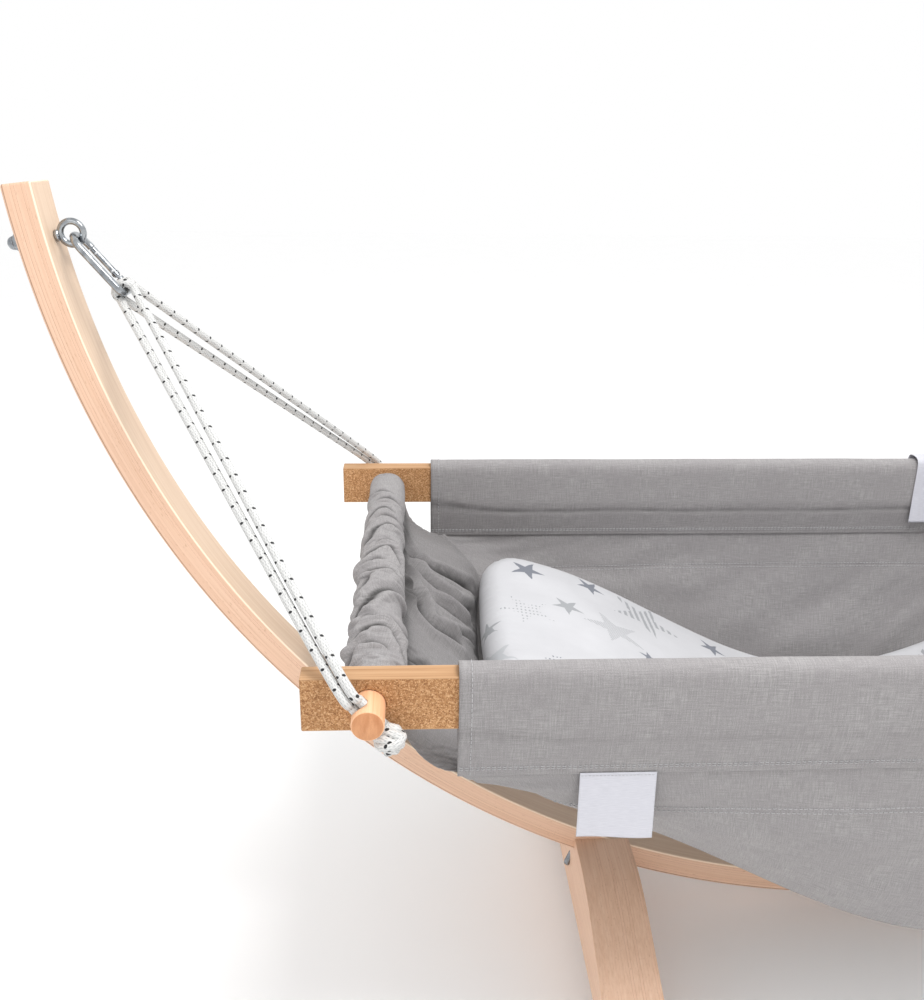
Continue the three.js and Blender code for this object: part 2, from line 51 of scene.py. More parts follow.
# ---- Places, from the frame ---------------------------------------------
rail_low, rail_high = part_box("rail_near")
RAIL_Z = (rail_low.z + rail_high.z) / 2
RAIL_Y = -(rail_low.y + rail_high.y) / 2
RAIL_HALF = Vector((rail_high - rail_low) / 2)
dowel_low, dowel_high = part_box("dowel_left")
DOWEL_X = -(dowel_low.x + dowel_high.x) / 2
DOWEL_R = (dowel_high.x - dowel_low.x) / 2
DOWEL_HALF = dowel_high.y
bow_low, bow_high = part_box("bow_left")
BOW_R, BOW_THICK, BOW_HALF = 878 * MM, 27 * MM, bow_high.y
BOW_Z = bow_low.z + BOW_R
BOW_TILT, EYE_TILT = math.radians(7.1), math.radians(10.3)
EYE_R, EYE_RING, EYE_WIRE = BOW_R - BOW_THICK - 15 * MM, 10 * MM, 3 * MM
SLING_HALF, SLING_LOW, SLING_RISE = 451 * MM, RAIL_Z - 289.3 * MM, 156 * MM
SEAM_Z = RAIL_Z - 69 * MM


def sling_z(x):
    """Height of the sling's bottom along its middle."""
    return SLING_LOW + SLING_RISE / 2 * (1 - np.cos(np.pi * np.clip(x / SLING_HALF, -1, 1)))


def corner_lift(x):
    """How far the bottom's long edges rise towards the ends."""
    t = np.clip((np.abs(x) - 0.372) / 0.085, 0, 1)
    return 30 * MM * t * t * (3 - 2 * t)


# ---- Camera and light ----------------------------------------------------
def make_camera():
    data = bpy.data.cameras.new("camera")
    data.lens, data.sensor_width = 35.54, 36
    camera = bpy.data.objects.new("camera", data)
    right = Vector((0.99876, -0.04808, 0.01279))
    up = Vector((0.00431, 0.33966, 0.94054))
    back = -Vector((0.04957, 0.93932, -0.33944))
    turn = Matrix((right, up, back)).transposed().to_4x4()
    camera.matrix_world = Matrix.Translation((-0.5222, -0.9169, 0.8270)) @ turn
    bpy.context.scene.collection.objects.link(camera)
    bpy.context.scene.camera = camera


def area_light(name, place, target, size, power):
    data = bpy.data.lights.new(name, "AREA")
    data.shape, data.size, data.energy = "SQUARE", size, power
    light = bpy.data.objects.new(name, data)
    light.location = place
    light.rotation_euler = (Vector(target) - Vector(place)).to_track_quat("-Z", "Y").to_euler()
    bpy.context.scene.collection.objects.link(light)


make_camera()
bpy.context.scene.view_settings.view_transform = "Standard"
world = bpy.data.worlds.new("studio")
world.use_nodes = True
world.node_tree.nodes["Background"].inputs["Color"].default_value = (1, 1, 1, 1)
world.node_tree.nodes["Background"].inputs["Strength"].default_value = 1.0
bpy.context.scene.world = world
area_light("key", (-1.2, -2.4, 1.9), (0, 0, 0.4), 1.2, 4)
area_light("fill", (0.0, -0.45, 1.8), (0, 0.22, 0.35), 0.7, 17)
area_light("back", (0.4, 2.2, 2.2), (0, 0, 0.4), 1.6, 5)


# ---- Shader helpers ------------------------------------------------------
class Paint:
    """A material with a short way to write its nodes."""

    def __init__(self, name, roughness=0.6, metallic=0.0, **sockets):
        self.material = bpy.data.materials.new(name)
        self.material.use_nodes = True
        self.tree = self.material.node_tree
        self.shader = self.tree.nodes["Principled BSDF"]
        self.shader.inputs["Roughness"].default_value = roughness
        self.shader.inputs["Metallic"].default_value = metallic
        for key, value in sockets.items():
            self.shader.inputs[key.replace("_", " ")].default_value = value

    def node(self, kind, inputs=None, **settings):
        made = self.tree.nodes.new(kind)
        for key, value in settings.items():
            setattr(made, key, value)
        for key, value in (inputs or {}).items():
            self.put(made.inputs[key], value)
        return made

    def put(self, socket, value):
        if isinstance(value, bpy.types.NodeSocket):
            self.tree.links.new(value, socket)
        else:
            socket.default_value = value

    def math(self, operation, *values):
        made = self.node("ShaderNodeMath", operation=operation)
        for socket, value in zip(made.inputs, values):
            self.put(socket, value)
        return made.outputs[0]

    def times(self, a, b):
        return self.math("MULTIPLY", a, b)

    def plus(self, a, b):
        return self.math("ADD", a, b)

    def minus(self, a, b):
        return self.math("SUBTRACT", a, b)

    def object_place(self):
        return self.node("ShaderNodeTexCoord").outputs["Object"]

    def uv(self):
        return self.node("ShaderNodeTexCoord").outputs["UV"]

    def split(self, vector):
        return self.node("ShaderNodeSeparateXYZ", {0: vector}).outputs

    def join(self, x=0.0, y=0.0, z=0.0):
        return self.node("ShaderNodeCombineXYZ", {0: x, 1: y, 2: z}).outputs[0]

    def stretched(self, vector, x, y, z):
        inputs = {0: vector, 1: (x, y, z)}
        return self.node("ShaderNodeVectorMath", inputs, operation="MULTIPLY").outputs["Vector"]

    def noise(self, vector, scale, detail=3.0, roughness=0.55):
        inputs = {"Vector": vector, "Scale": scale, "Detail": detail, "Roughness": roughness}
        return self.node("ShaderNodeTexNoise", inputs).outputs["Fac"]

    def cells(self, vector, scale, output="Color", feature="F1"):
        inputs = {"Vector": vector, "Scale": scale}
        return self.node("ShaderNodeTexVoronoi", inputs, feature=feature).outputs[output]

    def ramp(self, factor, *stops):
        made = self.node("ShaderNodeValToRGB", {0: factor})
        elements = made.color_ramp.elements
        while len(elements) < len(stops):
            elements.new(0.5)
        for element, (place, color) in zip(elements, stops):
            element.position = place
            element.color = (*color, 1) if len(color) == 3 else color
        return made.outputs[0]

    def mix(self, factor, a, b, blend="MIX"):
        made = self.node("ShaderNodeMix", data_type="RGBA", blend_type=blend)
        self.put(made.inputs["Factor"], factor)
        for key, value in ((6, a), (7, b)):
            plain = isinstance(value, tuple) and len(value) == 3
            self.put(made.inputs[key], (*value, 1) if plain else value)
        return made.outputs[2]

    def step(self, value, low, high):
        """0 below low and 1 above high, smooth between."""
        inputs = {"Value": value, "From Min": low, "From Max": high}
        return self.node("ShaderNodeMapRange", inputs, interpolation_type="SMOOTHSTEP").outputs[0]

    def color(self, value):
        self.put(self.shader.inputs["Base Color"], value)

    def rough(self, value):
        self.put(self.shader.inputs["Roughness"], value)

    def bump(self, height, distance, strength=1.0):
        inputs = {"Height": height, "Distance": distance, "Strength": strength}
        made = self.node("ShaderNodeBump", inputs)
        self.put(self.shader.inputs["Normal"], made.outputs[0])


def rgb(red, green, blue):
    """Screen colour from 0 to 255 as the shader's linear colour."""
    screen = (red / 255, green / 255, blue / 255)
    return tuple(c / 12.92 if c <= 0.04045 else ((c + 0.055) / 1.055) ** 2.4 for c in screen)


# ---- Materials -----------------------------------------------------------
LAYER = 3 * MM  # one veneer of the laminated beech


def laminated_beech(name, bent):
    """Glued beech layers. On the bow they follow its radius; on a foot they lie flat."""
    paint = Paint(name, 0.5, Coat_Weight=0.12, Coat_Roughness=0.35)
    x, y, z = paint.split(paint.object_place())
    if bent:
        down = paint.minus(BOW_Z, z)
        radius = paint.math("SQRT", paint.plus(paint.times(x, x), paint.times(down, down)))
        along = paint.times(paint.math("ARCTAN2", x, down), BOW_R)
        depth = paint.minus(BOW_R, radius)
        across = y
    else:
        along, depth, across = y, paint.plus(x, 0.5), z
    layer = paint.math("DIVIDE", depth, LAYER)
    number = paint.math("FLOOR", layer)
    within = paint.math("FRACT", layer)
    grain_place = paint.join(
        paint.times(along, 6.0),
        paint.plus(paint.times(across, 260.0), paint.times(number, 17.3)),
        paint.times(depth, 420.0),
    )
    grain = paint.noise(grain_place, 1.0, 5.0, 0.62)
    broad = paint.noise(paint.join(paint.times(along, 3.0), paint.times(across, 30.0), number), 1.0)
    color = paint.ramp(
        grain, (0.2, rgb(206, 162, 131)), (0.5, rgb(225, 185, 156)), (0.8, rgb(235, 201, 176))
    )
    tone = paint.node("ShaderNodeTexWhiteNoise", {"W": number}, noise_dimensions="1D").outputs["Value"]
    color = paint.mix(paint.times(tone, 0.3), color, rgb(226, 182, 152))
    color = paint.mix(paint.times(broad, 0.3), color, rgb(243, 216, 193))
    fleck_place = paint.join(
        paint.times(along, 160.0),
        paint.times(across, 900.0),
        paint.times(depth, 900.0),
    )
    fleck = paint.step(paint.noise(fleck_place, 1.0, 1.0), 0.66, 0.74)
    color = paint.mix(paint.times(fleck, 0.35), color, rgb(178, 128, 96))
    # Glue lines: dark and fine, some stronger than others along their length.
    edge = paint.math("MINIMUM", within, paint.minus(1.0, within))
    line = paint.minus(1.0, paint.step(edge, 0.02, 0.075))
    fade = paint.noise(paint.join(paint.times(along, 5.0), 0.0, paint.times(number, 9.1)), 1.0, 2.0)
    strong = paint.plus(0.12, paint.times(paint.step(tone, 0.55, 0.8), 0.75))
    line = paint.times(paint.times(line, strong), paint.step(fade, 0.36, 0.6))
    color = paint.mix(line, color, rgb(158, 96, 72))
    # The lighter face layers.
    face = paint.minus(1.0, paint.step(paint.minus(BOW_THICK, depth), 0.2 * MM, 0.9 * MM))
    if bent:
        outer_line = paint.times(paint.step(depth, 1.5 * MM, 1.9 * MM),
                                paint.minus(1.0, paint.step(depth, 2.3 * MM, 2.9 * MM)))
        outer_line = paint.times(outer_line, paint.step(broad, 0.2, 0.5))
        color = paint.mix(paint.times(outer_line, 0.7), color, rgb(128, 84, 62))
        # Painted highlight: a bright band on the rounded edge next to the inner face.
        painted_edge_highlight = paint.step(depth, BOW_THICK - 2.1 * MM, BOW_THICK - 1.7 * MM)
        color = paint.mix(paint.times(painted_edge_highlight, 0.8), color, rgb(255, 236, 212))
        pale = paint.ramp(
            grain, (0.2, rgb(204, 174, 146)), (0.55, rgb(217, 191, 166)), (0.8, rgb(225, 203, 181))
        )
        color = paint.mix(face, color, pale)
    paint.color(color)
    paint.rough(paint.plus(0.42, paint.times(grain, 0.2)))
    paint.bump(paint.minus(grain, paint.times(line, 0.8)), 0.12 * MM, 0.5)
    return paint.material


def pressed_board():
    """Granular board with smooth light edges at the top and bottom."""
    paint = Paint("pressed_board", 0.8)
    place = paint.object_place()
    _, _, z = paint.split(place)
    coarse = paint.cells(place, 860.0)
    fine = paint.cells(place, 1500.0)
    shade = paint.plus(
        paint.times(paint.split(coarse)[0], 0.6),
        paint.times(paint.split(fine)[1], 0.4),
    )
    grains = paint.ramp(
        shade,
        (0.1, rgb(134, 90, 52)),
        (0.38, rgb(174, 126, 80)),
        (0.62, rgb(194, 146, 99)),
        (0.92, rgb(228, 187, 142)),
    )
    patch = paint.noise(place, 24.0, 2.0)
    grains = paint.mix(paint.times(patch, 0.25), grains, rgb(150, 102, 64))
    away = paint.math("ABSOLUTE", paint.minus(z, RAIL_Z))
    edge = paint.step(away, RAIL_HALF.z - 1.1 * MM, RAIL_HALF.z - 0.7 * MM)
    grain = paint.noise(paint.stretched(place, 9.0, 420.0, 420.0), 1.0, 4.0)
    wood = paint.ramp(
        grain, (0.25, rgb(162, 121, 82)), (0.5, rgb(186, 145, 106)), (0.78, rgb(203, 166, 129))
    )
    paint.color(paint.mix(edge, grains, wood))
    gap = paint.cells(place, 860.0, "Distance", "DISTANCE_TO_EDGE")
    rise = paint.times(paint.step(gap, 0.0, 0.25), paint.minus(1.0, edge))
    paint.bump(rise, 0.25 * MM, 0.6)
    return paint.material


def turned_beech():
    paint = Paint("turned_beech", 0.5, Coat_Weight=0.08, Coat_Roughness=0.4)
    place = paint.object_place()
    _, y, _ = paint.split(place)
    grain = paint.noise(paint.stretched(place, 300.0, 7.0, 300.0), 1.0, 4.0, 0.6)
    side = paint.ramp(
        grain, (0.25, rgb(222, 160, 116)), (0.5, rgb(238, 184, 142)), (0.78, rgb(245, 203, 166))
    )
    ring = paint.noise(paint.stretched(place, 240.0, 1.0, 60.0), 1.0, 3.0)
    pore = paint.noise(paint.stretched(place, 1600.0, 1.0, 1600.0), 1.0, 1.0)
    end = paint.ramp(ring, (0.3, rgb(190, 126, 80)), (0.7, rgb(214, 154, 108)))
    end = paint.mix(paint.times(paint.step(pore, 0.55, 0.7), 0.3), end, rgb(176, 118, 78))
    tip = paint.step(paint.math("ABSOLUTE", y), DOWEL_HALF - 0.35 * MM, DOWEL_HALF - 0.15 * MM)
    paint.color(paint.mix(tip, side, end))
    paint.bump(grain, 0.1 * MM, 0.5)
    return paint.material


def zinc():
    paint = Paint("zinc_plate", 0.3, 1.0)
    place = paint.object_place()
    # Painted reflection: a cloudy light and dark base colour stands in for the reflected surroundings.
    cloud = paint.noise(place, 140.0, 3.0)
    paint.color(paint.ramp(
        cloud, (0.3, rgb(132, 136, 141)), (0.5, rgb(156, 160, 164)), (0.7, rgb(182, 186, 188))
    ))
    paint.rough(paint.plus(0.1, paint.times(paint.noise(place, 700.0, 2.0), 0.16)))
    paint.bump(paint.noise(place, 900.0, 2.0), 0.05 * MM, 0.4)
    return paint.material


FLECK_PITCH, ROPE_ROUND = 17.5 * MM, 23.5 * MM
YARNS, YARN_PITCH = 10, 5 * MM


def braided_rope():
    """White braid with dark tracer flecks; u runs along the rope in metres and v once round it."""
    paint = Paint("braided_rope", 0.75, Sheen_Weight=0.15)
    u, v, _ = paint.split(paint.uv())
    fleck = 0.0
    for start, turn in ((0.0, 0.08), (1.2 * MM, 0.33), (-0.6 * MM, 0.58), (0.9 * MM, 0.83)):
        step = paint.math("FRACT", paint.math("DIVIDE", paint.plus(u, start), FLECK_PITCH))
        du = paint.math("DIVIDE", paint.times(paint.minus(step, 0.5), FLECK_PITCH), 1.25 * MM)
        dv = paint.times(paint.minus(v, turn), ROPE_ROUND)
        lean = paint.math("DIVIDE", paint.plus(dv, paint.times(du, 0.5 * MM)), 1.75 * MM)
        size = paint.plus(paint.times(du, du), paint.times(lean, lean))
        fleck = paint.math("MAXIMUM", fleck, paint.minus(1.0, paint.step(size, 0.7, 1.1)))
    around = paint.times(v, 2 * math.pi * YARNS)
    along = paint.times(u, 2 * math.pi / YARN_PITCH)
    right = paint.math("SINE", paint.plus(around, along))
    left = paint.math("SINE", paint.minus(around, along))
    weave = paint.math("MAXIMUM", right, left)
    # Painted shade: the hollows between the crossing yarns are darker.
    shade = paint.step(weave, -0.7, 0.6)
    fibre = paint.noise(paint.join(paint.times(u, 900.0), paint.times(v, 60.0), 0.0), 1.0, 2.0)
    shade = paint.times(shade, paint.plus(0.8, paint.times(fibre, 0.4)))
    shade = paint.plus(paint.times(shade, 0.55), 0.45)
    # Painted shade: thin broken grey lines along the yarns' edges.
    twist = paint.plus(paint.times(v, 9.0), paint.times(u, 6.0))
    line = paint.math("ABSOLUTE", paint.minus(paint.math("FRACT", twist), 0.5))
    line = paint.minus(1.0, paint.step(line, 0.03, 0.14))
    broken = paint.noise(paint.join(paint.times(u, 120.0), paint.times(v, 9.0), 3.0), 1.0, 2.0)
    line = paint.times(line, paint.step(broken, 0.4, 0.55))
    base = paint.mix(shade, rgb(158, 159, 160), rgb(212, 212, 210))
    base = paint.mix(paint.times(line, 0.55), base, rgb(118, 119, 122))
    paint.color(paint.mix(fleck, base, rgb(26, 26, 29)))
    paint.bump(weave, 0.1 * MM, 0.4)
    return paint.material


CANVAS_PITCH = 0.9 * MM


def canvas(name="grey_canvas", shade=1.0):
    """Plain-woven grey cotton; u and v follow the threads in metres. A shade below 1 makes a darker copy
    as painted shade.
    """
    paint = Paint(name, 0.9, Sheen_Weight=0.12 * shade, Sheen_Roughness=0.5)
    place = paint.uv()
    u, v, _ = paint.split(place)
    turns = 2 * math.pi / CANVAS_PITCH
    warp = paint.math("SINE", paint.times(u, turns))
    weft = paint.math("SINE", paint.times(v, turns))
    weave = paint.times(warp, weft)
    slub_u = paint.noise(paint.stretched(place, 60.0, 1000.0, 1.0), 1.0, 3.0, 0.6)
    slub_v = paint.noise(paint.stretched(place, 1000.0, 60.0, 1.0), 1.0, 3.0, 0.6)
    slub = paint.plus(paint.times(slub_u, 0.5), paint.times(slub_v, 0.5))
    fibre = paint.noise(place, 1300.0, 2.0, 0.6)
    cloud = paint.step(paint.noise(place, 16.0, 4.0), 0.35, 0.65)
    color = paint.ramp(
        slub, (0.3, rgb(123, 121, 121)), (0.5, rgb(149, 146, 146)), (0.7, rgb(177, 174, 174))
    )
    # Darker soft patches: partly heather tone in the cotton, partly painted shade standing in for small
    # dents.
    color = paint.mix(paint.times(cloud, 0.45), color, rgb(141, 137, 138))
    color = paint.mix(paint.times(paint.step(fibre, 0.45, 0.75), 0.35), color, rgb(200, 197, 197))
    # Painted shade: the hollows between the threads are darkened.
    depth = paint.step(weave, -0.9, 0.9)
    color = paint.mix(paint.times(paint.minus(1.0, depth), 0.22), color, rgb(96, 93, 93))
    # Painted shade: fold valleys and crevices darkened by the shade value the cloth's points carry.
    painted_crease_shade = paint.node("ShaderNodeAttribute", attribute_name="painted_crease_shade").outputs["Fac"]
    color = paint.mix(paint.times(painted_crease_shade, 0.9), color, rgb(44, 42, 41))
    # Painted shade: a shade below 1 darkens the whole colour.
    paint.color(paint.mix(1.0, color, (shade, shade, shade), "MULTIPLY"))
    height = paint.plus(paint.times(weave, 0.35), paint.times(slub, 0.8))
    paint.bump(height, 0.3 * MM, 0.5)
    return paint.material


def thread():
    paint = Paint("sewing_thread", 0.6, Sheen_Weight=0.2)
    twist = paint.noise(paint.object_place(), 1800.0, 1.0)
    paint.color(paint.ramp(twist, (0.3, rgb(158, 157, 159)), (0.7, rgb(190, 189, 191))))
    paint.bump(twist, 0.1 * MM, 0.5)
    return paint.material


def satin():
    paint = Paint("satin_ribbon", 0.38, Sheen_Weight=0.2, Anisotropic=0.4)
    place = paint.uv()
    _, v, _ = paint.split(place)
    rib = paint.math("SINE", paint.times(v, 2 * math.pi / (0.7 * MM)))
    streak = paint.noise(paint.stretched(place, 120.0, 1400.0, 1.0), 1.0, 2.0)
    paint.color(paint.ramp(streak, (0.3, rgb(194, 194, 202)), (0.7, rgb(206, 206, 213))))
    paint.bump(rib, 0.08 * MM, 0.5)
    return paint.material


def felt():
    paint = Paint("felt", 1.0, Sheen_Weight=0.3)
    place = paint.object_place()
    fibre = paint.noise(place, 900.0, 4.0, 0.7)
    paint.color(paint.ramp(fibre, (0.3, rgb(60, 57, 54)), (0.7, rgb(104, 99, 94))))
    paint.bump(fibre, 0.5 * MM, 0.8)
    return paint.material


def floor_paint():
    paint = Paint("studio_floor", 0.9)
    speck = paint.noise(paint.object_place(), 6.0, 2.0)
    paint.color(paint.ramp(speck, (0.3, rgb(254, 254, 254)), (0.7, rgb(255, 255, 255))))
    return paint.material


def star_print():
    """White cotton with scattered printed stars; u and v lie flat on the mattress in metres."""
    paint = Paint("star_cotton", 0.85, Sheen_Weight=0.1)
    place = paint.uv()
    u, v, _ = paint.split(place)
    waver = paint.times(paint.minus(paint.noise(place, 130.0, 2.0), 0.5), 2.4 * MM)
    px = paint.plus(paint.math("WRAP", u, -0.11, -0.47), waver)
    py = paint.minus(paint.math("WRAP", v, 0.235, -0.085), waver)
    stripe = paint.step(paint.math("SINE", paint.times(px, 2 * math.pi / (8 * MM))), -0.2, 0.2)
    dash = paint.math("SINE", paint.times(paint.plus(px, py), 2 * math.pi / (5 * MM)))
    hatch = paint.step(dash, 0.0, 0.5)
    rows = paint.math("SINE", paint.times(py, 2 * math.pi / (7 * MM)))
    spots = paint.math("SINE", paint.times(px, 2 * math.pi / (4 * MM)))
    dotted = paint.step(paint.times(paint.math("MAXIMUM", rows, 0.0), spots), 0.15, 0.4)
    dark, middle, pale = rgb(108, 112, 122), rgb(150, 152, 155), rgb(176, 178, 181)
    stars = (
        (-0.388, 0.153, 23, 0.15, dark, None),
        (-0.309, 0.163, 19, 0.2, dark, None),
        (-0.349, 0.081, 20, 0.35, middle, None),
        (-0.398, 0.052, 33, 0.5, middle, dotted),
        (-0.441, 0.015, 18, 0.9, middle, None),
        (-0.440, -0.050, 27, 0.5, pale, None),
        (-0.245, 0.143, 46, 0.2, middle, stripe),
        (-0.297, 0.064, 37, 0.6, middle, hatch),
        (-0.381, -0.052, 13, 0.4, dark, dotted),
        (-0.264, 0.030, 13, 0.9, dark, None),
        (-0.155, 0.150, 18, 0.3, dark, None),
        (-0.190, 0.065, 24, 0.7, pale, None),
        (-0.165, -0.020, 30, 0.4, middle, stripe),
        (-0.320, -0.055, 17, 0.9, middle, None),
        (-0.235, -0.050, 27, 0.2, pale, hatch),
    )
    weave = paint.times(paint.math("SINE", paint.times(u, 2 * math.pi / (0.6 * MM))),
                       paint.math("SINE", paint.times(v, 2 * math.pi / (0.6 * MM))))
    cloud = paint.noise(place, 14.0, 3.0)
    color = paint.ramp(cloud, (0.3, rgb(191, 191, 194)), (0.7, rgb(200, 200, 203)))
    notch = 0.36
    for cx, cy, size, turn, tint, screen in stars:
        radius = size * MM
        dx, dy = paint.minus(px, cx), paint.minus(py, cy)
        reach = paint.math("SQRT", paint.plus(paint.times(dx, dx), paint.times(dy, dy)))
        angle = paint.math("PINGPONG", paint.plus(paint.math("ARCTAN2", dy, dx), turn), math.pi / 5)
        qx = paint.times(reach, paint.math("COSINE", angle))
        qy = paint.times(reach, paint.math("SINE", angle))
        bx, by = notch * radius * math.cos(math.pi / 5), notch * radius * math.sin(math.pi / 5)
        side = math.hypot(bx - radius, by)
        across = paint.times(paint.minus(qx, radius), by / side)
        inside = paint.minus(paint.times(qy, (bx - radius) / side), across)
        mask = paint.step(inside, -0.2 * MM, 0.3 * MM)
        if screen is not None:
            mask = paint.times(mask, screen)
        color = paint.mix(paint.times(mask, 0.92), color, tint)
    paint.color(color)
    soft = paint.noise(place, 45.0, 3.0)
    paint.bump(paint.plus(paint.times(weave, 0.08), paint.times(soft, 2.0)), 0.5 * MM, 0.5)
    return paint.material


BEECH = laminated_beech("bent_beech", True)
FOOT_BEECH = laminated_beech("foot_beech", False)
BOARD, DOWEL_WOOD, ZINC = pressed_board(), turned_beech(), zinc()
ROPE, CANVAS, THREAD, SATIN = braided_rope(), canvas(), thread(), satin()
# A darker copy of the canvas, painted shade for the gathered ends' other side.
SHADED_CANVAS = canvas("canvas_painted_shade", 0.36)
FELT, COTTON = felt(), star_print()


# ---- Mesh helpers --------------------------------------------------------
def make(name, points, faces, material, uv=None, smooth=True):
    """A mesh object; uv is one (u, v) for each point."""
    mesh = bpy.data.meshes.new(name)
    mesh.from_pydata([tuple(p) for p in points], [], [tuple(int(i) for i in f) for f in faces])
    mesh.validate()
    if uv is not None:
        layer = mesh.uv_layers.new(name="UVMap")
        corner = np.zeros(len(mesh.loops), int)
        mesh.loops.foreach_get("vertex_index", corner)
        layer.data.foreach_set("uv", np.asarray(uv, np.float32)[corner].ravel())
    mesh.polygons.foreach_set("use_smooth", [smooth] * len(mesh.polygons))
    mesh.materials.append(material)
    made = bpy.data.objects.new(name, mesh)
    bpy.context.scene.collection.objects.link(made)
    return made


def settle(piece, body, slot, *replaced):
    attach(piece, body)
    if replaced:
        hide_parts(*replaced)
    return piece


def grid_faces(rows, columns, close_rows=False, close_columns=False):
    """Quads of a grid of rows by columns points, wrapped round where it closes."""
    r = np.arange(rows if close_rows else rows - 1)[:, None]
    c = np.arange(columns if close_columns else columns - 1)[None, :]
    r2, c2 = (r + 1) % rows, (c + 1) % columns
    corners = [r * columns + c, r2 * columns + c, r2 * columns + c2, r * columns + c2]
    return np.stack([np.broadcast_to(k, (len(r), c.shape[1])) for k in corners], -1).reshape(-1, 4)


def apply_modifiers(piece):
    graph = bpy.context.evaluated_depsgraph_get()
    mesh = bpy.data.meshes.new_from_object(piece.evaluated_get(graph))
    piece.modifiers.clear()
    piece.data = mesh
    return piece


def add_modifier(piece, kind, **settings):
    made = piece.modifiers.new(kind.lower(), kind)
    for key, value in settings.items():
        setattr(made, key, value)
    return made


def rounded(piece, width, segments=3):
    """Small rounded edges with flat faces between them."""
    add_modifier(piece, "BEVEL", width=width, segments=segments,
                 limit_method="ANGLE", angle_limit=math.radians(35))
    add_modifier(piece, "WEIGHTED_NORMAL", keep_sharp=True)
    return apply_modifiers(piece)


def carve(piece, *tools, operation="DIFFERENCE"):
    for tool in tools:
        add_modifier(piece, "BOOLEAN", object=tool, operation=operation, solver="EXACT")
    apply_modifiers(piece)
    for tool in tools:
        bpy.data.objects.remove(tool)
    return piece


def lengths(line):
    """Distance run at each point of a line of points."""
    return np.concatenate([[0], np.cumsum(np.linalg.norm(np.diff(line, axis=0), axis=1))])


def sample(line, run, marks):
    """Points of a line at the marks, with the distances run given."""
    return np.stack([np.interp(marks, run, line[:, k]) for k in range(line.shape[1])], -1)


def in_mm(profile):
    return [(a * MM, b * MM) for a, b in profile]


def turned(name, profile, place, axis, material, sides=48):
    """A profile of (radius, height) points turned round a line from place along axis."""
    radii, heights = np.array(profile, float).T
    angle = np.arange(sides) * 2 * np.pi / sides
    ring = np.stack([np.outer(np.cos(angle), radii), np.outer(np.sin(angle), radii)], -1)
    local = np.concatenate([ring, np.broadcast_to(heights, ring.shape[:2])[..., None]], -1)
    turn = np.array(Vector((0, 0, 1)).rotation_difference(Vector(axis)).to_matrix())
    points = local.reshape(-1, 3) @ turn.T + np.array(place)
    faces = grid_faces(sides, len(profile), close_rows=True)
    run = lengths(np.array(profile, float))
    uv = np.stack([np.repeat(angle * max(radii), len(profile)), np.tile(run, sides)], -1)
    made = make(name, points, faces, material, uv)
    clean(made)
    return made


def cylinder(name, radius, half, place, axis, material, sides):
    """A solid round bar that reaches half to each side of place."""
    profile = [(0, -half), (radius, -half), (radius, half), (0, half)]
    return turned(name, profile, place, axis, material, sides)


def clean(piece):
    """Joined points, no empty faces and outward normals."""
    work = bmesh.new()
    work.from_mesh(piece.data)
    bmesh.ops.remove_doubles(work, verts=work.verts, dist=1e-6)
    bmesh.ops.dissolve_degenerate(work, dist=1e-7, edges=work.edges)
    bmesh.ops.recalc_face_normals(work, faces=work.faces)
    work.to_mesh(piece.data)
    work.free()


def merged(name, pieces):
    """One object from several, keeping their materials."""
    work = bmesh.new()
    materials = []
    for piece in pieces:
        start = len(work.faces)
        work.from_mesh(piece.data)
        work.faces.ensure_lookup_table()
        for face in work.faces[start:]:
            material = piece.data.materials[face.material_index]
            if material not in materials:
                materials.append(material)
            face.material_index = materials.index(material)
    mesh = bpy.data.meshes.new(name)
    work.to_mesh(mesh)
    work.free()
    for material in materials:
        mesh.materials.append(material)
    for piece in pieces:
        bpy.data.objects.remove(piece)
    made = bpy.data.objects.new(name, mesh)
    bpy.context.scene.collection.objects.link(made)
    return made


def smooth_route(points, step):
    """A Catmull-Rom curve through the points, sampled about every step."""
    p = np.array(points, float)
    p = np.vstack([2 * p[0] - p[1], p, 2 * p[-1] - p[-2]])
    fine = []
    for a, b, c, d in zip(p[:-3], p[1:-2], p[2:-1], p[3:]):
        t = np.linspace(0, 1, max(2, int(np.linalg.norm(c - b) / step * 4)), endpoint=False)[:, None]
        square, cube = 2 * a - 5 * b + 4 * c - d, 3 * b - a - 3 * c + d
        fine.append(0.5 * (2 * b + (c - a) * t + square * t**2 + cube * t**3))
    fine = np.vstack([*fine, p[-2:-1]])
    run = lengths(fine)
    return sample(fine, run, np.linspace(0, run[-1], max(3, int(round(run[-1] / step)) + 1)))


def tube(name, route, radius, material, sides=24, relief=None, start=0.0):
    """A round tube along route; relief(u, turn) adds to its radius."""
    route = np.array(route, float)
    tangent = np.gradient(route, axis=0)
    tangent /= np.linalg.norm(tangent, axis=1)[:, None]
    across = np.cross(tangent[0], (0.3, 0.5, 0.8))
    normals = []
    for direction in tangent:
        across = across - direction * (across @ direction)
        across /= np.linalg.norm(across)
        normals.append(across)
    normals = np.array(normals)
    other = np.cross(tangent, normals)
    along = start + lengths(route)
    turn = np.arange(sides) / sides
    u, t = np.meshgrid(along, turn, indexing="ij")
    size = radius + (relief(u, t) if relief else 0 * u)
    size = np.broadcast_to(size, u.shape)
    cos, sin = np.cos(2 * np.pi * t), np.sin(2 * np.pi * t)
    circle = cos[..., None] * normals[:, None] + sin[..., None] * other[:, None]
    points = (route[:, None] + size[..., None] * circle).reshape(-1, 3)
    count = len(route)
    faces = list(grid_faces(count, sides, close_columns=True)[:, ::-1])
    points, uv = list(points), list(zip(np.repeat(along, sides), np.tile(turn, count)))
    for row, flip in ((0, False), (count - 1, True)):
        middle = len(points)
        points.append(route[row])
        uv.append((along[row], 0.5))
        for k in range(sides):
            a, b = row * sides + k, row * sides + (k + 1) % sides
            faces.append((middle, b, a) if flip else (middle, a, b))
    made = make(name, points, faces, material, uv)
    wrap_seam(made)
    return made


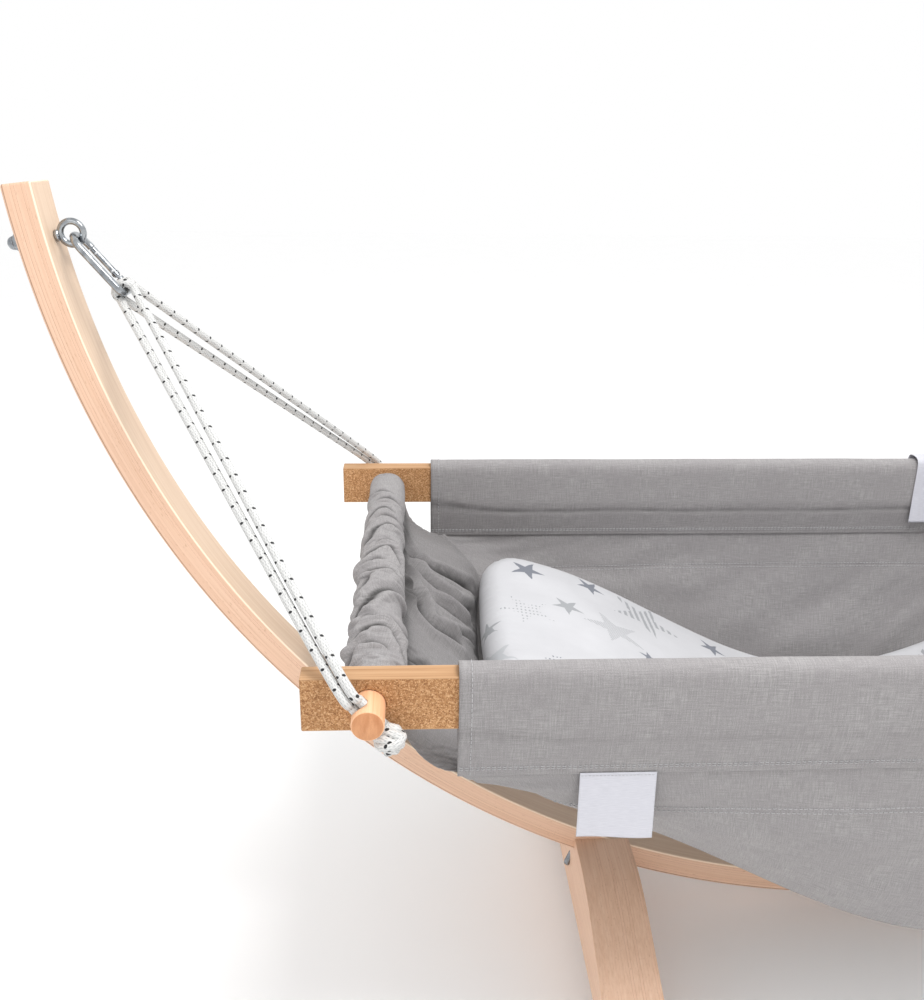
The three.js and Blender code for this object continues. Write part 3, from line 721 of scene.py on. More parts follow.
def wrap_seam(piece):
    """Closes the turn coordinate where a tube's faces step from its last column to its first."""
    layer = piece.data.uv_layers[0].data
    for face in piece.data.polygons:
        turns = [layer[i].uv[1] for i in face.loop_indices]
        if max(turns) - min(turns) > 0.5:
            for i in face.loop_indices:
                if layer[i].uv[1] < 0.5:
                    layer[i].uv[1] += 1.0


def wobble(place, scale, seed=0.0):
    """Smooth noise from -1 to 1 at a point."""
    return noise.noise(Vector(place) * scale + Vector((seed, 1.7 * seed, -seed)))


# ---- Bow and feet --------------------------------------------------------
def on_bow(radius, tilt, end, y=0.0):
    return Vector((end * radius * math.cos(tilt), y, BOW_Z - radius * math.sin(tilt)))


def inward(tilt, end):
    return Vector((-end * math.cos(tilt), 0, math.sin(tilt)))


def bent_bar(name, angle, radii, half, end, material):
    """A flat bar that follows the bow, between two radii and half to each side."""
    inner, outer = radii
    corners = ((inner, -half), (outer, -half), (outer, half), (inner, half))
    points = [on_bow(r, a, end, y) for a in angle for r, y in corners]
    last = 4 * (len(angle) - 1)
    faces = list(grid_faces(len(angle), 4, close_columns=True))
    faces += [(3, 2, 1, 0), (last, last + 1, last + 2, last + 3)]
    bar = make(name, points, faces, material)
    clean(bar)
    return bar


def bow_half(name, end):
    joint_gap = 0.15 * MM
    angle = np.linspace(BOW_TILT, math.pi / 2 - joint_gap / BOW_R, 150)
    bow = bent_bar(f"bent_bow_{name}", angle, (BOW_R - BOW_THICK, BOW_R), BOW_HALF, end, BEECH)
    settle(rounded(bow, 2.2 * MM, 4), "stand", "laminated_beech", f"bow_{name}")


def foot(name):
    low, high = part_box(f"foot_{name}")
    half, base, top = high.y, low.z, high.z
    x = (low.x + high.x) / 2
    arch, end_top = base + 20 * MM, base + 38 * MM
    outline = [(-half, base), (-half + 0.07, base)]
    under = (-half + 0.07, base), (-half + 0.095, arch), (-half + 0.14, arch)
    outline += [bend(t, *under) for t in steps_of(8)]
    outline += [(-y, z) for y, z in reversed(outline)]
    over = [(half, end_top - 8 * MM), (half - 3 * MM, end_top - 2 * MM), (half - 10 * MM, end_top)]
    rise = (half - 0.01, end_top), (half - 0.09, end_top + 4 * MM), (0.13, top), (0.062, top)
    over += [cubic(t, *rise) for t in steps_of(16)]
    outline += over + [(-y, z) for y, z in reversed(over)]
    count = len(outline)
    width = (high.x - low.x) / 2
    points = [(x + s * width, y, z) for s in (-1, 1) for y, z in outline]
    faces = [tuple(range(count)), tuple(reversed(range(count, 2 * count)))]
    faces += [(i, i + count, (i + 1) % count + count, (i + 1) % count) for i in range(count)]
    beam = make(f"cross_foot_{name}", points, faces, FOOT_BEECH)
    clean(beam)
    gap = 0.2 * MM
    seat = cylinder("seat", BOW_R + gap, BOW_HALF + gap, (0, 0, BOW_Z), (0, 1, 0), FOOT_BEECH, 720)
    carve(beam, seat)
    settle(rounded(beam, 2.5 * MM, 4), "stand", "laminated_beech", f"foot_{name}")


def steps_of(count):
    return [(i + 1) / count for i in range(count)]


def bend(t, a, b, c):
    return tuple((1 - t) ** 2 * p + 2 * t * (1 - t) * q + t * t * r for p, q, r in zip(a, b, c))


def cubic(t, a, b, c, d):
    s = 1 - t
    shares = s**3, 3 * s * s * t, 3 * s * t * t, t**3
    return tuple(sum(share * k for share, k in zip(shares, values)) for values in zip(a, b, c, d))


# ---- Hardware ------------------------------------------------------------
def dome_bolt(name, seat, axis, length):
    """A carriage bolt with a thread at its tip; axis runs from its head to its tip."""
    head = [(0, -4.0), (3.2, -3.8), (6.2, -2.9), (8.2, -1.4), (8.9, -0.4), (9.0, 0), (4.0, 0)]
    shank = [(4.0, length / MM - 24)]
    for i in range(17):
        shank += [(3.45, length / MM - 23 + i * 1.25), (4.0, length / MM - 22.4 + i * 1.25)]
    profile = head + shank + [(3.4, length / MM), (0, length / MM)]
    return turned(name, in_mm(profile), seat, axis, ZINC, 40)


def cap_nut(name, seat, axis):
    """A hexagonal nut with a domed end."""
    dome = [(0, 7), (6.2, 7), (6.15, 8.4), (5.7, 10.2), (4.6, 12.0), (2.8, 13.2), (0, 13.7)]
    top = turned(name + "_dome", in_mm(dome), seat, axis, ZINC, 48)
    body = turned(name, in_mm([(0, 0), (7.5, 0), (7.5, 7.05), (0, 7.05)]), seat, axis, ZINC, 6)
    body.data.polygons.foreach_set("use_smooth", [False] * len(body.data.polygons))
    return merged(name, [rounded(body, 0.5 * MM, 3), top])


BOLT_TILTS, PLATE_TILT, PLATE_HALF = (84.8, 87.9, 92.1, 95.2), 6.2, 19 * MM


def splice():
    """The plate over the bow's joint, with its bolts and nuts."""
    for i, tilt in enumerate(BOLT_TILTS, 1):
        angle = math.radians(tilt)
        up = inward(angle, -1)
        seat = on_bow(BOW_R + 0.2 * MM, angle, -1)
        bolt = dome_bolt(f"carriage_bolt_{i}", seat, up, 40 * MM)
        settle(bolt, "stand", "zinc_steel", f"splice_bolt_{i}")
        nut_seat = on_bow(BOW_R - BOW_THICK - 5 * MM, angle, -1)
        settle(cap_nut(f"plate_nut_{i}", nut_seat, up), "stand", "zinc_steel", f"splice_nut_{i}")
    angle = np.radians(np.linspace(90 - PLATE_TILT, 90 + PLATE_TILT, 40))
    inner = BOW_R - BOW_THICK
    plate = bent_bar("joining_plate", angle, (inner - 4.6 * MM, inner - 0.3 * MM), PLATE_HALF, -1, ZINC)
    settle(rounded(plate, 0.8 * MM), "stand", "zinc_steel", "splice_plate")


def feet():
    """The cross feet with their bolts and floor pads."""
    foot_low, foot_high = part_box("foot_right")
    foot_tilt = math.acos((foot_low.x + foot_high.x) / 2 / (BOW_R - BOW_THICK / 2))
    for name, end in ENDS:
        foot(name)
        for i, turn in enumerate((-1, 1), 1):
            angle = foot_tilt + math.radians(turn)
            head = on_bow(BOW_R - BOW_THICK - 0.3 * MM, angle, end)
            bolt = dome_bolt(f"foot_screw_{name}_{i}", head, -inward(angle, end), 64 * MM)
            settle(bolt, "stand", "zinc_steel", f"foot_bolt_{name}_{i}")
        for side, _ in SIDES:
            low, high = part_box(f"foot_pad_{name}_{side}")
            middle, radius, top = (low + high) / 2, (high.x - low.x) / 2, high.z - low.z
            inset = radius - 0.8 * MM
            profile = [(0, 0), (inset, 0), (radius, 0.8 * MM), (radius, top - 0.6 * MM)]
            profile += [(inset, top), (0, top)]
            place = (middle.x, middle.y, low.z)
            pad = turned(f"felt_pad_{name}_{side}", profile, place, (0, 0, 1), FELT, 48)
            settle(pad, "stand", "felt", f"foot_pad_{name}_{side}")


def eye_bolt(name, end):
    centre = on_bow(EYE_R, EYE_TILT, end)
    outward = -inward(EYE_TILT, end)
    ring = ring_route(centre, EYE_RING, Vector((1, 0, 0)), Vector((0, 0, 1)), 96)
    loop = closed_tube(f"eye_ring_{name}", ring, EYE_WIRE, ZINC, 24)
    reach = (on_bow(BOW_R, EYE_TILT, end) - centre).length + 10 * MM
    start = EYE_RING + EYE_WIRE * 0.2
    collar = [(5.2 * MM, start), (5.2 * MM, 14.2 * MM), (4.0 * MM, 14.6 * MM), (4.0 * MM, reach)]
    profile = [(0, start), *collar, (0, reach)]
    shank = turned(f"eye_shank_{name}", profile, centre, outward, ZINC, 40)
    settle(merged(f"ring_bolt_{name}", [loop, shank]), "stand", "zinc_steel", f"eye_bolt_{name}")
    seat = on_bow(BOW_R + 0.2 * MM, EYE_TILT, end)
    flat = [(4.3, 0), (8.7, 0), (9, 0.3), (9, 1.1), (8.7, 1.4), (4.3, 1.4), (4.3, 0)]
    disc = turned(f"flat_washer_{name}", in_mm(flat), seat, outward, ZINC, 48)
    settle(disc, "stand", "zinc_steel", f"eye_washer_{name}")
    nut = cap_nut(f"dome_nut_{name}", seat + outward * 1.6 * MM, outward)
    settle(nut, "stand", "zinc_steel", f"eye_nut_{name}")


def ring_route(centre, radius, a, b, count):
    angle = np.arange(count) * 2 * np.pi / count
    return np.array(centre) + radius * (np.outer(np.cos(angle), a) + np.outer(np.sin(angle), b))


def closed_tube(name, route, radius, material, sides):
    """A round bar along a closed route that lies in one plane."""
    route = np.array(route)
    tangent = np.roll(route, -1, 0) - np.roll(route, 1, 0)
    tangent /= np.linalg.norm(tangent, axis=1)[:, None]
    flat = np.cross(tangent[0], tangent[len(route) // 4])
    flat /= np.linalg.norm(flat)
    other = np.cross(tangent, flat)
    angle = np.arange(sides) * 2 * np.pi / sides
    circle = np.cos(angle)[None, :, None] * flat + np.sin(angle)[None, :, None] * other[:, None]
    points = route[:, None] + radius * circle
    made = make(name, points.reshape(-1, 3), grid_faces(len(route), sides, True, True), material)
    clean(made)
    return made


HOOK_WIRE, HOOK_HALF, HOOK_REACH, HOOK_CORNER = 3.5 * MM, 13.2 * MM, 66.2 * MM, 6 * MM
GATE_FROM, GATE_TO, GATE_PIN = 19 * MM, 51 * MM, 48 * MM


def hook_frame(end):
    """The eye's centre, and the direction from it to the dowel, at that end."""
    eye = on_bow(EYE_R, EYE_TILT, end)
    return eye, (Vector((end * DOWEL_X, 0, RAIL_Z)) - eye).normalized()


def hook(name, end):
    eye, pull = hook_frame(end)
    flat = Vector((0, 1, 0))
    normal = pull.cross(flat)

    def place(x, y, z=0.0):
        return eye + pull * x + flat * y + normal * z

    def corner(from_x, from_y, start, stop, radius, count):
        turn = np.linspace(start, stop, count)
        return [(from_x + radius * math.cos(a), from_y + radius * math.sin(a)) for a in turn]

    top = EYE_RING - EYE_WIRE - HOOK_WIRE - 0.3 * MM
    quarter = math.pi / 2
    w, c = HOOK_HALF, HOOK_CORNER
    route = [(GATE_FROM - 0.5 * MM, w), (GATE_FROM - 1.0 * MM, w)]
    route += corner(top + w, 0, quarter, 3 * quarter, w, 28)
    route += [(x, -w) for x in np.linspace(top + w + 3 * MM, HOOK_REACH - c - 3 * MM, 12)]
    route += corner(HOOK_REACH - c, -w + c, -quarter, 0, c, 9)
    route += [(HOOK_REACH, y) for y in np.linspace(-w + c + 2 * MM, w - c - 2 * MM, 5)]
    route += corner(HOOK_REACH - c, w - c, 0, quarter, c, 9)
    route += [(GATE_TO + 2.2 * MM, w), (GATE_TO + 1.7 * MM, w)]
    wire = tube(f"snap_hook_{name}", [place(x, y) for x, y in route], HOOK_WIRE, ZINC, 28)
    clean(wire)
    blade_ends = (GATE_FROM - 2 * MM, GATE_FROM + 4.4 * MM), (GATE_PIN - 2.6 * MM, GATE_TO + 4 * MM)
    blades = [
        block(f"tongue_{name}", place, xs, (w - 2.2 * MM, w + 2.2 * MM), (-1.1 * MM, 1.1 * MM), 0.5 * MM)
        for xs in blade_ends
    ]
    settle(merged(f"snap_hook_{name}", [wire, *blades]), f"hook_{name}", "zinc_steel", f"hook_{name}")
    bar_profile = [(0, 0), (2.5, 0), (3, 0.5), (3, 31.5), (2.5, 32), (0, 32)]
    bar = turned(f"hook_gate_{name}", in_mm(bar_profile), place(GATE_FROM, w), pull, ZINC, 40)
    slot_ends = (GATE_FROM - 1 * MM, GATE_FROM + 6 * MM), (GATE_PIN - 4.5 * MM, GATE_TO + 1 * MM)
    slots = [
        block("slot", place, xs, (w - 5 * MM, w + 5 * MM), (-1.4 * MM, 1.4 * MM), 0) for xs in slot_ends
    ]
    carve(bar, *slots)
    settle(rounded(bar, 0.25 * MM, 2), f"gate_{name}", "zinc_steel", f"gate_{name}")
    head = [(1.1, 2.95), (2.0, 3.05), (1.6, 3.4), (0, 3.5)]
    rivet = [(r, -h) for r, h in reversed(head)] + head
    pin = turned(f"gate_rivet_{name}", in_mm(rivet), place(GATE_PIN, w), normal, ZINC, 32)
    settle(pin, f"hook_{name}", "zinc_steel", f"gate_pin_{name}")


def block(name, place, xs, ys, zs, radius, material=ZINC):
    """A box between two xs, ys and zs, put in place by place(x, y, z)."""
    points = [place(x, y, z) for x in xs for y in ys for z in zs]
    faces = [(0, 1, 3, 2), (4, 6, 7, 5), (0, 4, 5, 1), (2, 3, 7, 6), (0, 2, 6, 4), (1, 5, 7, 3)]
    made = make(name, points, faces, material)
    clean(made)
    return rounded(made, radius, 2) if radius else made


# ---- Ropes and knots -----------------------------------------------------
ROPE_R, ROPE_BEND, ROPE_SIDE, ROPE_APART = 3.75 * MM, 8.25 * MM, 4.3 * MM, 3.95 * MM
HOLE_Y = RAIL_Y + RAIL_HALF.y + 16 * MM
KNOT_DROP, KNOT_R, KNOT_TURNS = 25 * MM, 9.0 * MM, 1.75


def braid(u, turn):
    """Height of two sets of yarns that cross round the rope."""
    around, along = 2 * np.pi * YARNS * turn, 2 * np.pi * u / YARN_PITCH
    return 0.13 * MM * np.maximum(np.sin(around + along), np.sin(around - along)) - 0.07 * MM


def rope_line():
    """Middle line of the near left loop, and the bar it bends round."""
    eye, pull = hook_frame(-1)
    side = Vector((-pull.z, 0, pull.x))
    dowel = Vector((-DOWEL_X, 0, RAIL_Z))
    bar = eye + pull * HOOK_REACH
    link = (bar - dowel).length

    def strand(lean):
        def at(y, away, apart):
            return Vector((dowel.x, y, dowel.z)) - pull * away + side * lean * apart

        low = at(-HOLE_Y, 8.5 * MM, ROPE_APART), at(-HOLE_Y, DOWEL_R + 1 * MM, ROPE_APART)
        over = at(-RAIL_Y - RAIL_HALF.y - ROPE_R - 0.75 * MM, 42 * MM, ROPE_APART + 0.2 * MM)
        top = at(-ROPE_SIDE - 5 * MM, link - 9 * MM, ROPE_BEND - 0.2 * MM)
        return [*low, over, over.lerp(top, 0.5), top]

    middle = bar + Vector((0, -ROPE_SIDE, 0))
    bend_points = [
        middle - side * ROPE_BEND * math.cos(a) - pull * ROPE_BEND * math.sin(a)
        for a in np.linspace(0, math.pi, 9)
    ]
    return [*strand(-1), *bend_points, *reversed(strand(1))]


def mirrored_route(route, end, s):
    return np.array(route) * np.array((-end, -s, 1.0))


def ropes():
    line = rope_line()
    for name, end in ENDS:
        for side, s in SIDES:
            route = smooth_route(mirrored_route(line, end, s), 1.2 * MM)
            loop = tube(f"rope_loop_{name}_{side}", route, ROPE_R, ROPE, 28, braid)
            settle(loop, f"ropes_{name}", "rope", f"rope_{name}_{side}")


def knot(name, side, end, s, turn):
    """Both strands wound into a ball below the dowel, with their two cut ends."""
    _, pull = hook_frame(-1)
    across = Vector((-pull.z, 0, pull.x))
    hole = Vector((-DOWEL_X, -HOLE_Y, RAIL_Z))
    centre = hole + pull * KNOT_DROP
    axis = Vector((0.55, 0.45, 0.7)).normalized()
    first = axis.orthogonal().normalized()
    second = axis.cross(first)

    def on_ball(polar, angle, radius):
        flat = first * math.cos(angle) + second * math.sin(angle)
        return centre + radius * (math.sin(polar) * flat - math.cos(polar) * axis)

    parts = []
    for lean in (-1, 1):
        line = [hole + across * lean * ROPE_APART + pull * z * MM for z in (-12.0, -4.0, 4.0, 11.0)]
        wrap = []
        for t in np.linspace(0, 1, 34):
            angle = turn + lean * math.pi / 2 + 2 * math.pi * KNOT_TURNS * t
            radius = KNOT_R + 0.5 * MM * math.sin(5 * t + lean)
            wrap.append(on_ball(math.pi * (0.14 + 0.72 * t), angle, radius))
        tail = [centre - pull * down * MM + across * lean * out * MM for down, out in ((8, 4), (13.5, 5))]
        route = mirrored_route(smooth_route([*line, *wrap, *tail], 1.2 * MM), end, s)
        parts.append(tube("strand", route, ROPE_R * 0.97, ROPE, 24, start=0.4 * lean))
    over = []
    for t in np.linspace(0, 1, 20):
        tilt = math.pi * (-0.62 + 1.24 * t)
        reach = (7.4 + 3.4 * math.sin(math.pi * t) ** 0.5) * MM
        sideways = math.sin(tilt) * (across * 0.9 + pull * 0.35)
        over.append(centre + reach * (sideways - Vector((0, 1, 0)) * math.cos(tilt)))
    route = mirrored_route(smooth_route(over, 1.2 * MM), end, s)
    parts.append(tube("strand", route, ROPE_R * 0.97, ROPE, 24, start=0.9))
    settle(merged(f"tied_knot_{name}_{side}", parts), "cradle", "rope", f"knot_{name}_{side}")


# ---- Rails and dowels ----------------------------------------------------
def rail(name, s):
    half_x, half_y, half_z = RAIL_HALF

    def place(x, y, z):
        return (x, s * RAIL_Y + y, RAIL_Z + z)

    ranges = (-half_x, half_x), (-half_y, half_y), (-half_z, half_z)
    beam = block(f"cradle_rail_{name}", place, *ranges, 0, BOARD)
    bore = DOWEL_R + 0.25 * MM
    tools = [
        cylinder("bore", bore, 30 * MM, (end * DOWEL_X, s * RAIL_Y, RAIL_Z), (0, 1, 0), BOARD, 96)
        for _, end in ENDS
    ]
    carve(beam, *tools)
    settle(rounded(beam, 1.1 * MM, 3), "cradle", "pressed_board", f"rail_{name}")


def dowel(name, end):
    half, r = DOWEL_HALF, DOWEL_R
    tip = [(0, half)]
    tip += [(r - a * MM, half - b * MM) for a, b in ((1.6, 0), (0.7, 0.3), (0.15, 0.9), (0, 1.6))]
    shaft = [(r, h) for h in np.linspace(-half + 5 * MM, half - 5 * MM, 90)]
    profile = [(q, -h) for q, h in tip] + shaft + tip[::-1]
    bar = turned(f"cradle_dowel_{name}", profile, (end * DOWEL_X, 0, RAIL_Z), (0, 1, 0), DOWEL_WOOD, 96)
    _, pull = hook_frame(-1)
    axis = Vector((-end * pull.x, 0, pull.z))
    bore = 7.75 * MM
    tools = [
        cylinder("bore", bore, 20 * MM, (end * DOWEL_X, s * HOLE_Y, RAIL_Z), axis, DOWEL_WOOD, 64)
        for s in (-1, 1)
    ]
    carve(bar, *tools)
    settle(bar, "cradle", "dowel_beech", f"dowel_{name}")


# ---- Stitching -----------------------------------------------------------
def stitches(name, line, outward, length=3.0 * MM, gap=1.3 * MM, radius=0.36 * MM):
    """A row of thread stitches lying along line, raised to the side of outward (one vector a point)."""
    line, outward = np.array(line, float), np.array(outward, float)
    run = lengths(line)
    starts = np.arange(gap, run[-1] - length, length + gap)
    rise = np.array([-0.35, 0.35, 0.62, 0.35, -0.35]) * 2 * radius
    marks = np.array([0.0, 0.12, 0.5, 0.88, 1.0]) * length
    sides = 6
    angle = np.arange(sides) * 2 * np.pi / sides
    points, faces = [], []
    ring = grid_faces(len(marks), sides, close_columns=True)
    for number, start in enumerate(starts):
        middle = sample(line, run, start + marks)
        up = sample(outward, run, start + marks)
        up /= np.linalg.norm(up, axis=1)[:, None]
        tangent = np.gradient(middle, axis=0)
        tangent /= np.linalg.norm(tangent, axis=1)[:, None]
        across = np.cross(tangent, up)
        middle = middle + up * rise[:, None]
        middle = middle + across * (0.12 * MM * math.sin(number * 2.4))
        circle = np.cos(angle)[:, None] * up[:, None] + np.sin(angle)[:, None] * across[:, None]
        points.append((middle[:, None] + radius * circle).reshape(-1, 3))
        faces.append(ring + number * len(marks) * sides)
        first = number * len(marks) * sides
        faces.append(first + np.array([[0, 1, 2, 3], [0, 3, 4, 5]]))
        last = first + (len(marks) - 1) * sides
        faces.append(last + np.array([[3, 2, 1, 0], [5, 4, 3, 0]]))
    return make(name, np.concatenate(points), np.concatenate(faces), THREAD)


def sheet_grid(name, points, uv, thickness, material=CANVAS, level=0, back=None, painted_crease_shade=None):
    """Cloth of an even thickness on a grid of points; the given painted shade darkens its fold valleys,
    and back, when given, is a darker painted-shade material for its other side.
    """
    faces = grid_faces(*points.shape[:2])
    cloth = make(name, points.reshape(-1, 3), faces, material, uv.reshape(-1, 2))
    if painted_crease_shade is not None:
        # Painted shade values on the points, for the canvas shader.
        layer = cloth.data.attributes.new("painted_crease_shade", "FLOAT", "POINT")
        layer.data.foreach_set("value", painted_crease_shade.astype(np.float32).ravel())
    if level:
        add_modifier(cloth, "SUBSURF", levels=level, render_levels=level)
    if back:
        cloth.data.materials.append(back)
    add_modifier(cloth, "SOLIDIFY", thickness=thickness, offset=0, use_even_offset=False,
                 material_offset=int(bool(back)))
    return apply_modifiers(cloth)


def uv_grid(u, v):
    """Flat coordinates of a grid whose rows lie at u and columns at v."""
    return np.stack(np.broadcast_arrays(u[:, None], v[None, :]), -1)


def surface_normal(points):
    """Unit normals of a grid of points."""
    normal = np.cross(np.gradient(points, axis=0), np.gradient(points, axis=1))
    return normal / np.maximum(np.linalg.norm(normal, axis=2), 1e-12)[..., None]


# ---- Canvas pockets and panels -------------------------------------------
POCKET_X = {"near": (-488 * MM, 492 * MM), "far": (-500 * MM, 488 * MM)}
# Outward from the rail's middle and up from it, in mm, from the outer hem over the rail to the inner.
POCKET_PROFILE = (
    (1.5, -71), (2.2, -66), (4.2, -57), (7.0, -45), (9.7, -33), (11.2, -24.5), (11.5, -18),
    (11.6, -5), (11.7, 8), (11.5, 17), (10.6, 22.5), (8.6, 26.2), (5.2, 28.3), (0.0, 29.0),
    (-5.2, 28.0), (-8.6, 25.6), (-10.6, 21.8), (-11.5, 16), (-11.7, 8), (-11.6, -5), (-11.5, -18),
    (-11.2, -24.5), (-9.7, -33), (-7.0, -45), (-4.2, -57), (-2.2, -66), (-1.5, -71),
)


POCKET_CLOTH, PANEL_CLOTH, GATHER_CLOTH = 0.9 * MM, 1.1 * MM, 1.0 * MM
HEM_ROWS, EDGE_INSET = (-64.5 * MM, -61.0 * MM), 8.5 * MM


def pocket(name, s):
    x0, x1 = POCKET_X[name]
    profile = np.array(POCKET_PROFILE) * MM
    # Evenly spaced points round the profile.
    run = lengths(profile)
    around = np.linspace(0, run[-1], 96)
    out, up = sample(profile, run, around).T
    xs = np.linspace(x0, x1, 300)
    seed = 3.0 if s < 0 else 11.0
    slack = np.array([wobble((x, 0, 0), 9.0, seed) for x in xs])
    fine = np.array([wobble((x, 0, 0), 34.0, seed + 5) for x in xs])
    lower = np.clip((-up - 20 * MM) / (46 * MM), 0, 1)
    bulge = np.sin(np.pi * lower) ** 1.2
    loose = np.where(lower > 0.85, 0.3, 1.0)
    top = np.clip((up - 20 * MM) / (11 * MM), 0, 1)
    grid = np.zeros((len(xs), len(around), 3))
    painted_crease_shade = np.zeros((len(xs), len(around)))
    side = np.sign(out)
    hem = np.clip(1 - np.minimum(xs - x0, x1 - xs) / (11 * MM), 0, 1) > 0
    for i, x in enumerate(xs):
        ripple = np.array([wobble((x, o * 8, u), 22.0, seed) for o, u in zip(side * 0.01, up)])
        push = bulge * (1.1 * slack[i] + 0.5 * fine[i]) * MM
        push += 0.45 * MM * ripple * (0.25 + lower) + 0.35 * MM * hem[i]
        # A crease under the rail, drawn up at the left edge, with painted shade along it.
        drawn = math.exp(-((x - x0) / 0.05) ** 2)
        below = up + (35 - 9 * drawn) * MM + 2.5 * MM * slack[i]
        crease = np.exp(-((below / ((2.6 + 4 * drawn) * MM)) ** 2))
        crease *= (0.5 + 0.5 * fine[i] + 0.4 * drawn) * (1.0 if s > 0 else 0.35)
        # Painted shade along the crease.
        painted_crease_shade[i] = np.clip(0.5 * crease, 0, 1)
        grid[i, :, 0] = x
        grid[i, :, 1] = s * (RAIL_Y + out + side * (np.abs(push) * loose - 2.2 * MM * crease))
        lift = top * (0.9 * slack[i] + 0.3 * fine[i]) * MM - 0.4 * MM * lower * slack[i]
        grid[i, :, 2] = RAIL_Z + up + lift
    cloth = sheet_grid(f"canvas_pocket_{name}", grid, uv_grid(xs, around), POCKET_CLOTH, painted_crease_shade=painted_crease_shade)
    normal = surface_normal(grid)
    rows = []
    half = up.argmax()
    for label, face_from in (("hem_outer", 0), ("hem_inner", half)):
        for mark in HEM_ROWS:
            face = up[:half] if face_from == 0 else up[half:]
            column = face_from + int(np.abs(face - mark).argmin())
            direction = np.zeros((len(xs), 3))
            direction[:, 1] = s * side[column]
            rows.append(stitches(label, grid[:, column] + direction * 0.45 * MM, direction))
    inset = int(round(EDGE_INSET / (xs[1] - xs[0])))
    for edge in (inset, len(xs) - 1 - inset):
        direction = normal[edge].copy()
        away = np.stack([np.zeros_like(out), s * out, up], -1)
        direction *= np.sign(np.sum(direction * away, 1))[:, None]
        rows.append(stitches("edge", grid[edge] + direction * 0.45 * MM, direction))
    settle(cloth, "cradle", "canvas", f"pocket_{name}")
    seams = settle(merged(f"pocket_stitching_{name}", rows), "cradle", "canvas")


# Height of the side panels' own seam, their height flat and the share of it left after cutting.
SEAM_2, SIDE_FLAT, SIDE_SHARE = 312 * MM, 235 * MM, 0.7


def side_point(x, s, b):
    """Side panel: b runs from the pocket's seam at 0 to the bottom at 1."""
    top = SEAM_Z + 0.5 * MM
    bottom = sling_z(x) + corner_lift(x)
    return (x * (1 + 0.082 * (1 - b)), s * (RAIL_Y - 48 * MM * b * b), top + (bottom - top) * b)


def side_panel(name, s):
    xs, bs = np.linspace(-SLING_HALF, SLING_HALF, 260), np.linspace(0, 1, 70)
    grid = np.array([[side_point(x, s, b) for b in bs] for x in xs])
    normal = surface_normal(grid)
    outward = normal * np.sign(normal[:, :, 1:2] * s)
    seed = 21.0 if s < 0 else 31.0
    long_wave = np.array([[wobble((x * 2.2, b * 1.4, 0), 3.0, seed) for b in bs] for x in xs])
    folds = np.array([
        [wobble((x * 7.0 + b * 1.5, b * 2.0 + x * 3.0, 0), 2.2, seed + 3) for b in bs] for x in xs
    ])
    hang = np.maximum(np.sin(np.pi * bs), 0)[None, :] ** 0.7
    second = np.exp(-(((grid[:, :, 2] - SEAM_2) / (3.2 * MM)) ** 2))
    push = hang * (3.2 * MM * long_wave + 3.0 * MM * folds + 0.5 * MM * second)
    grid = grid + outward * push[..., None]
    cloth = sheet_grid(f"canvas_side_{name}", grid, uv_grid(xs, bs * 0.2), PANEL_CLOTH)
    rows = []
    for height in (SEAM_2 + 2.3 * MM, SEAM_2 - 2.3 * MM):
        pick = np.abs(grid[:, :, 2] - height).argmin(axis=1)
        for face in (1, -1):
            line, direction = [], []
            for i, k in enumerate(pick):
                other = k + 1 if grid[i, k, 2] > height else k - 1
                a, b = grid[i, k], grid[i, min(max(other, 0), len(bs) - 1)]
                share = 0 if abs(b[2] - a[2]) < 1e-9 else (height - a[2]) / (b[2] - a[2])
                line.append(a + (b - a) * np.clip(share, -0.5, 1.5) + outward[i, k] * face * 0.55 * MM)
                direction.append(outward[i, k] * face)
            inside = grid[:, -1, 2] < height - 12 * MM
            rows.append(stitches("seam", np.array(line)[inside], np.array(direction)[inside]))
    settle(cloth, "cradle", "canvas", f"side_panel_{name}")
    seams = settle(merged(f"side_stitching_{name}", rows), "cradle", "canvas")


def end_reach(t):
    """How much farther the bottom runs in its middle than at its long edges, t at -1 and 1."""
    return 1 + 0.03 * (1 - abs(t) ** 3)


BOTTOM_HALF = 206.5 * MM


def bottom_panel():
    xs, ys = np.linspace(-SLING_HALF, SLING_HALF, 220), np.linspace(-1, 1, 90)
    grid = np.zeros((len(xs), len(ys), 3))
    for i, x in enumerate(xs):
        for j, t in enumerate(ys):
            sag = 1.2 * MM * wobble((x, t * 0.2, 0), 7.0, 41.0) * (1 - t * t)
            lift = corner_lift(x) * abs(t) ** 3
            z = sling_z(x) + lift + sag - 1.0 * MM * (1 - t * t)
            grid[i, j] = (x * end_reach(t), t * BOTTOM_HALF, z)
    cloth = sheet_grid("canvas_bottom", grid, uv_grid(xs, ys * BOTTOM_HALF), PANEL_CLOTH)
    settle(cloth, "cradle", "canvas", "bottom_panel")
    rows = []
    for edge in (3, len(ys) - 4):
        for face in (1, -1):
            direction = np.tile((0.0, 0.0, float(face)), (len(xs), 1))
            rows.append(stitches("seam", grid[:, edge] + direction * 0.55 * MM, direction))
    seams = settle(merged("bottom_stitching", rows), "cradle", "canvas")


# ---- Gathered ends -------------------------------------------------------
COLUMNS, LOOP_ROWS, FAN_ROWS = 290, 44, 56
SLACK, GATHER_HALF, GATHER_FLAT = 1.022, 243.5 * MM, 700 * MM
SLEEVE_R, SLEEVE_SHIFT = 21.5 * MM, 4 * MM
LOOP_START, LOOP_STOP = math.radians(-78), math.radians(-34) - 2 * math.pi
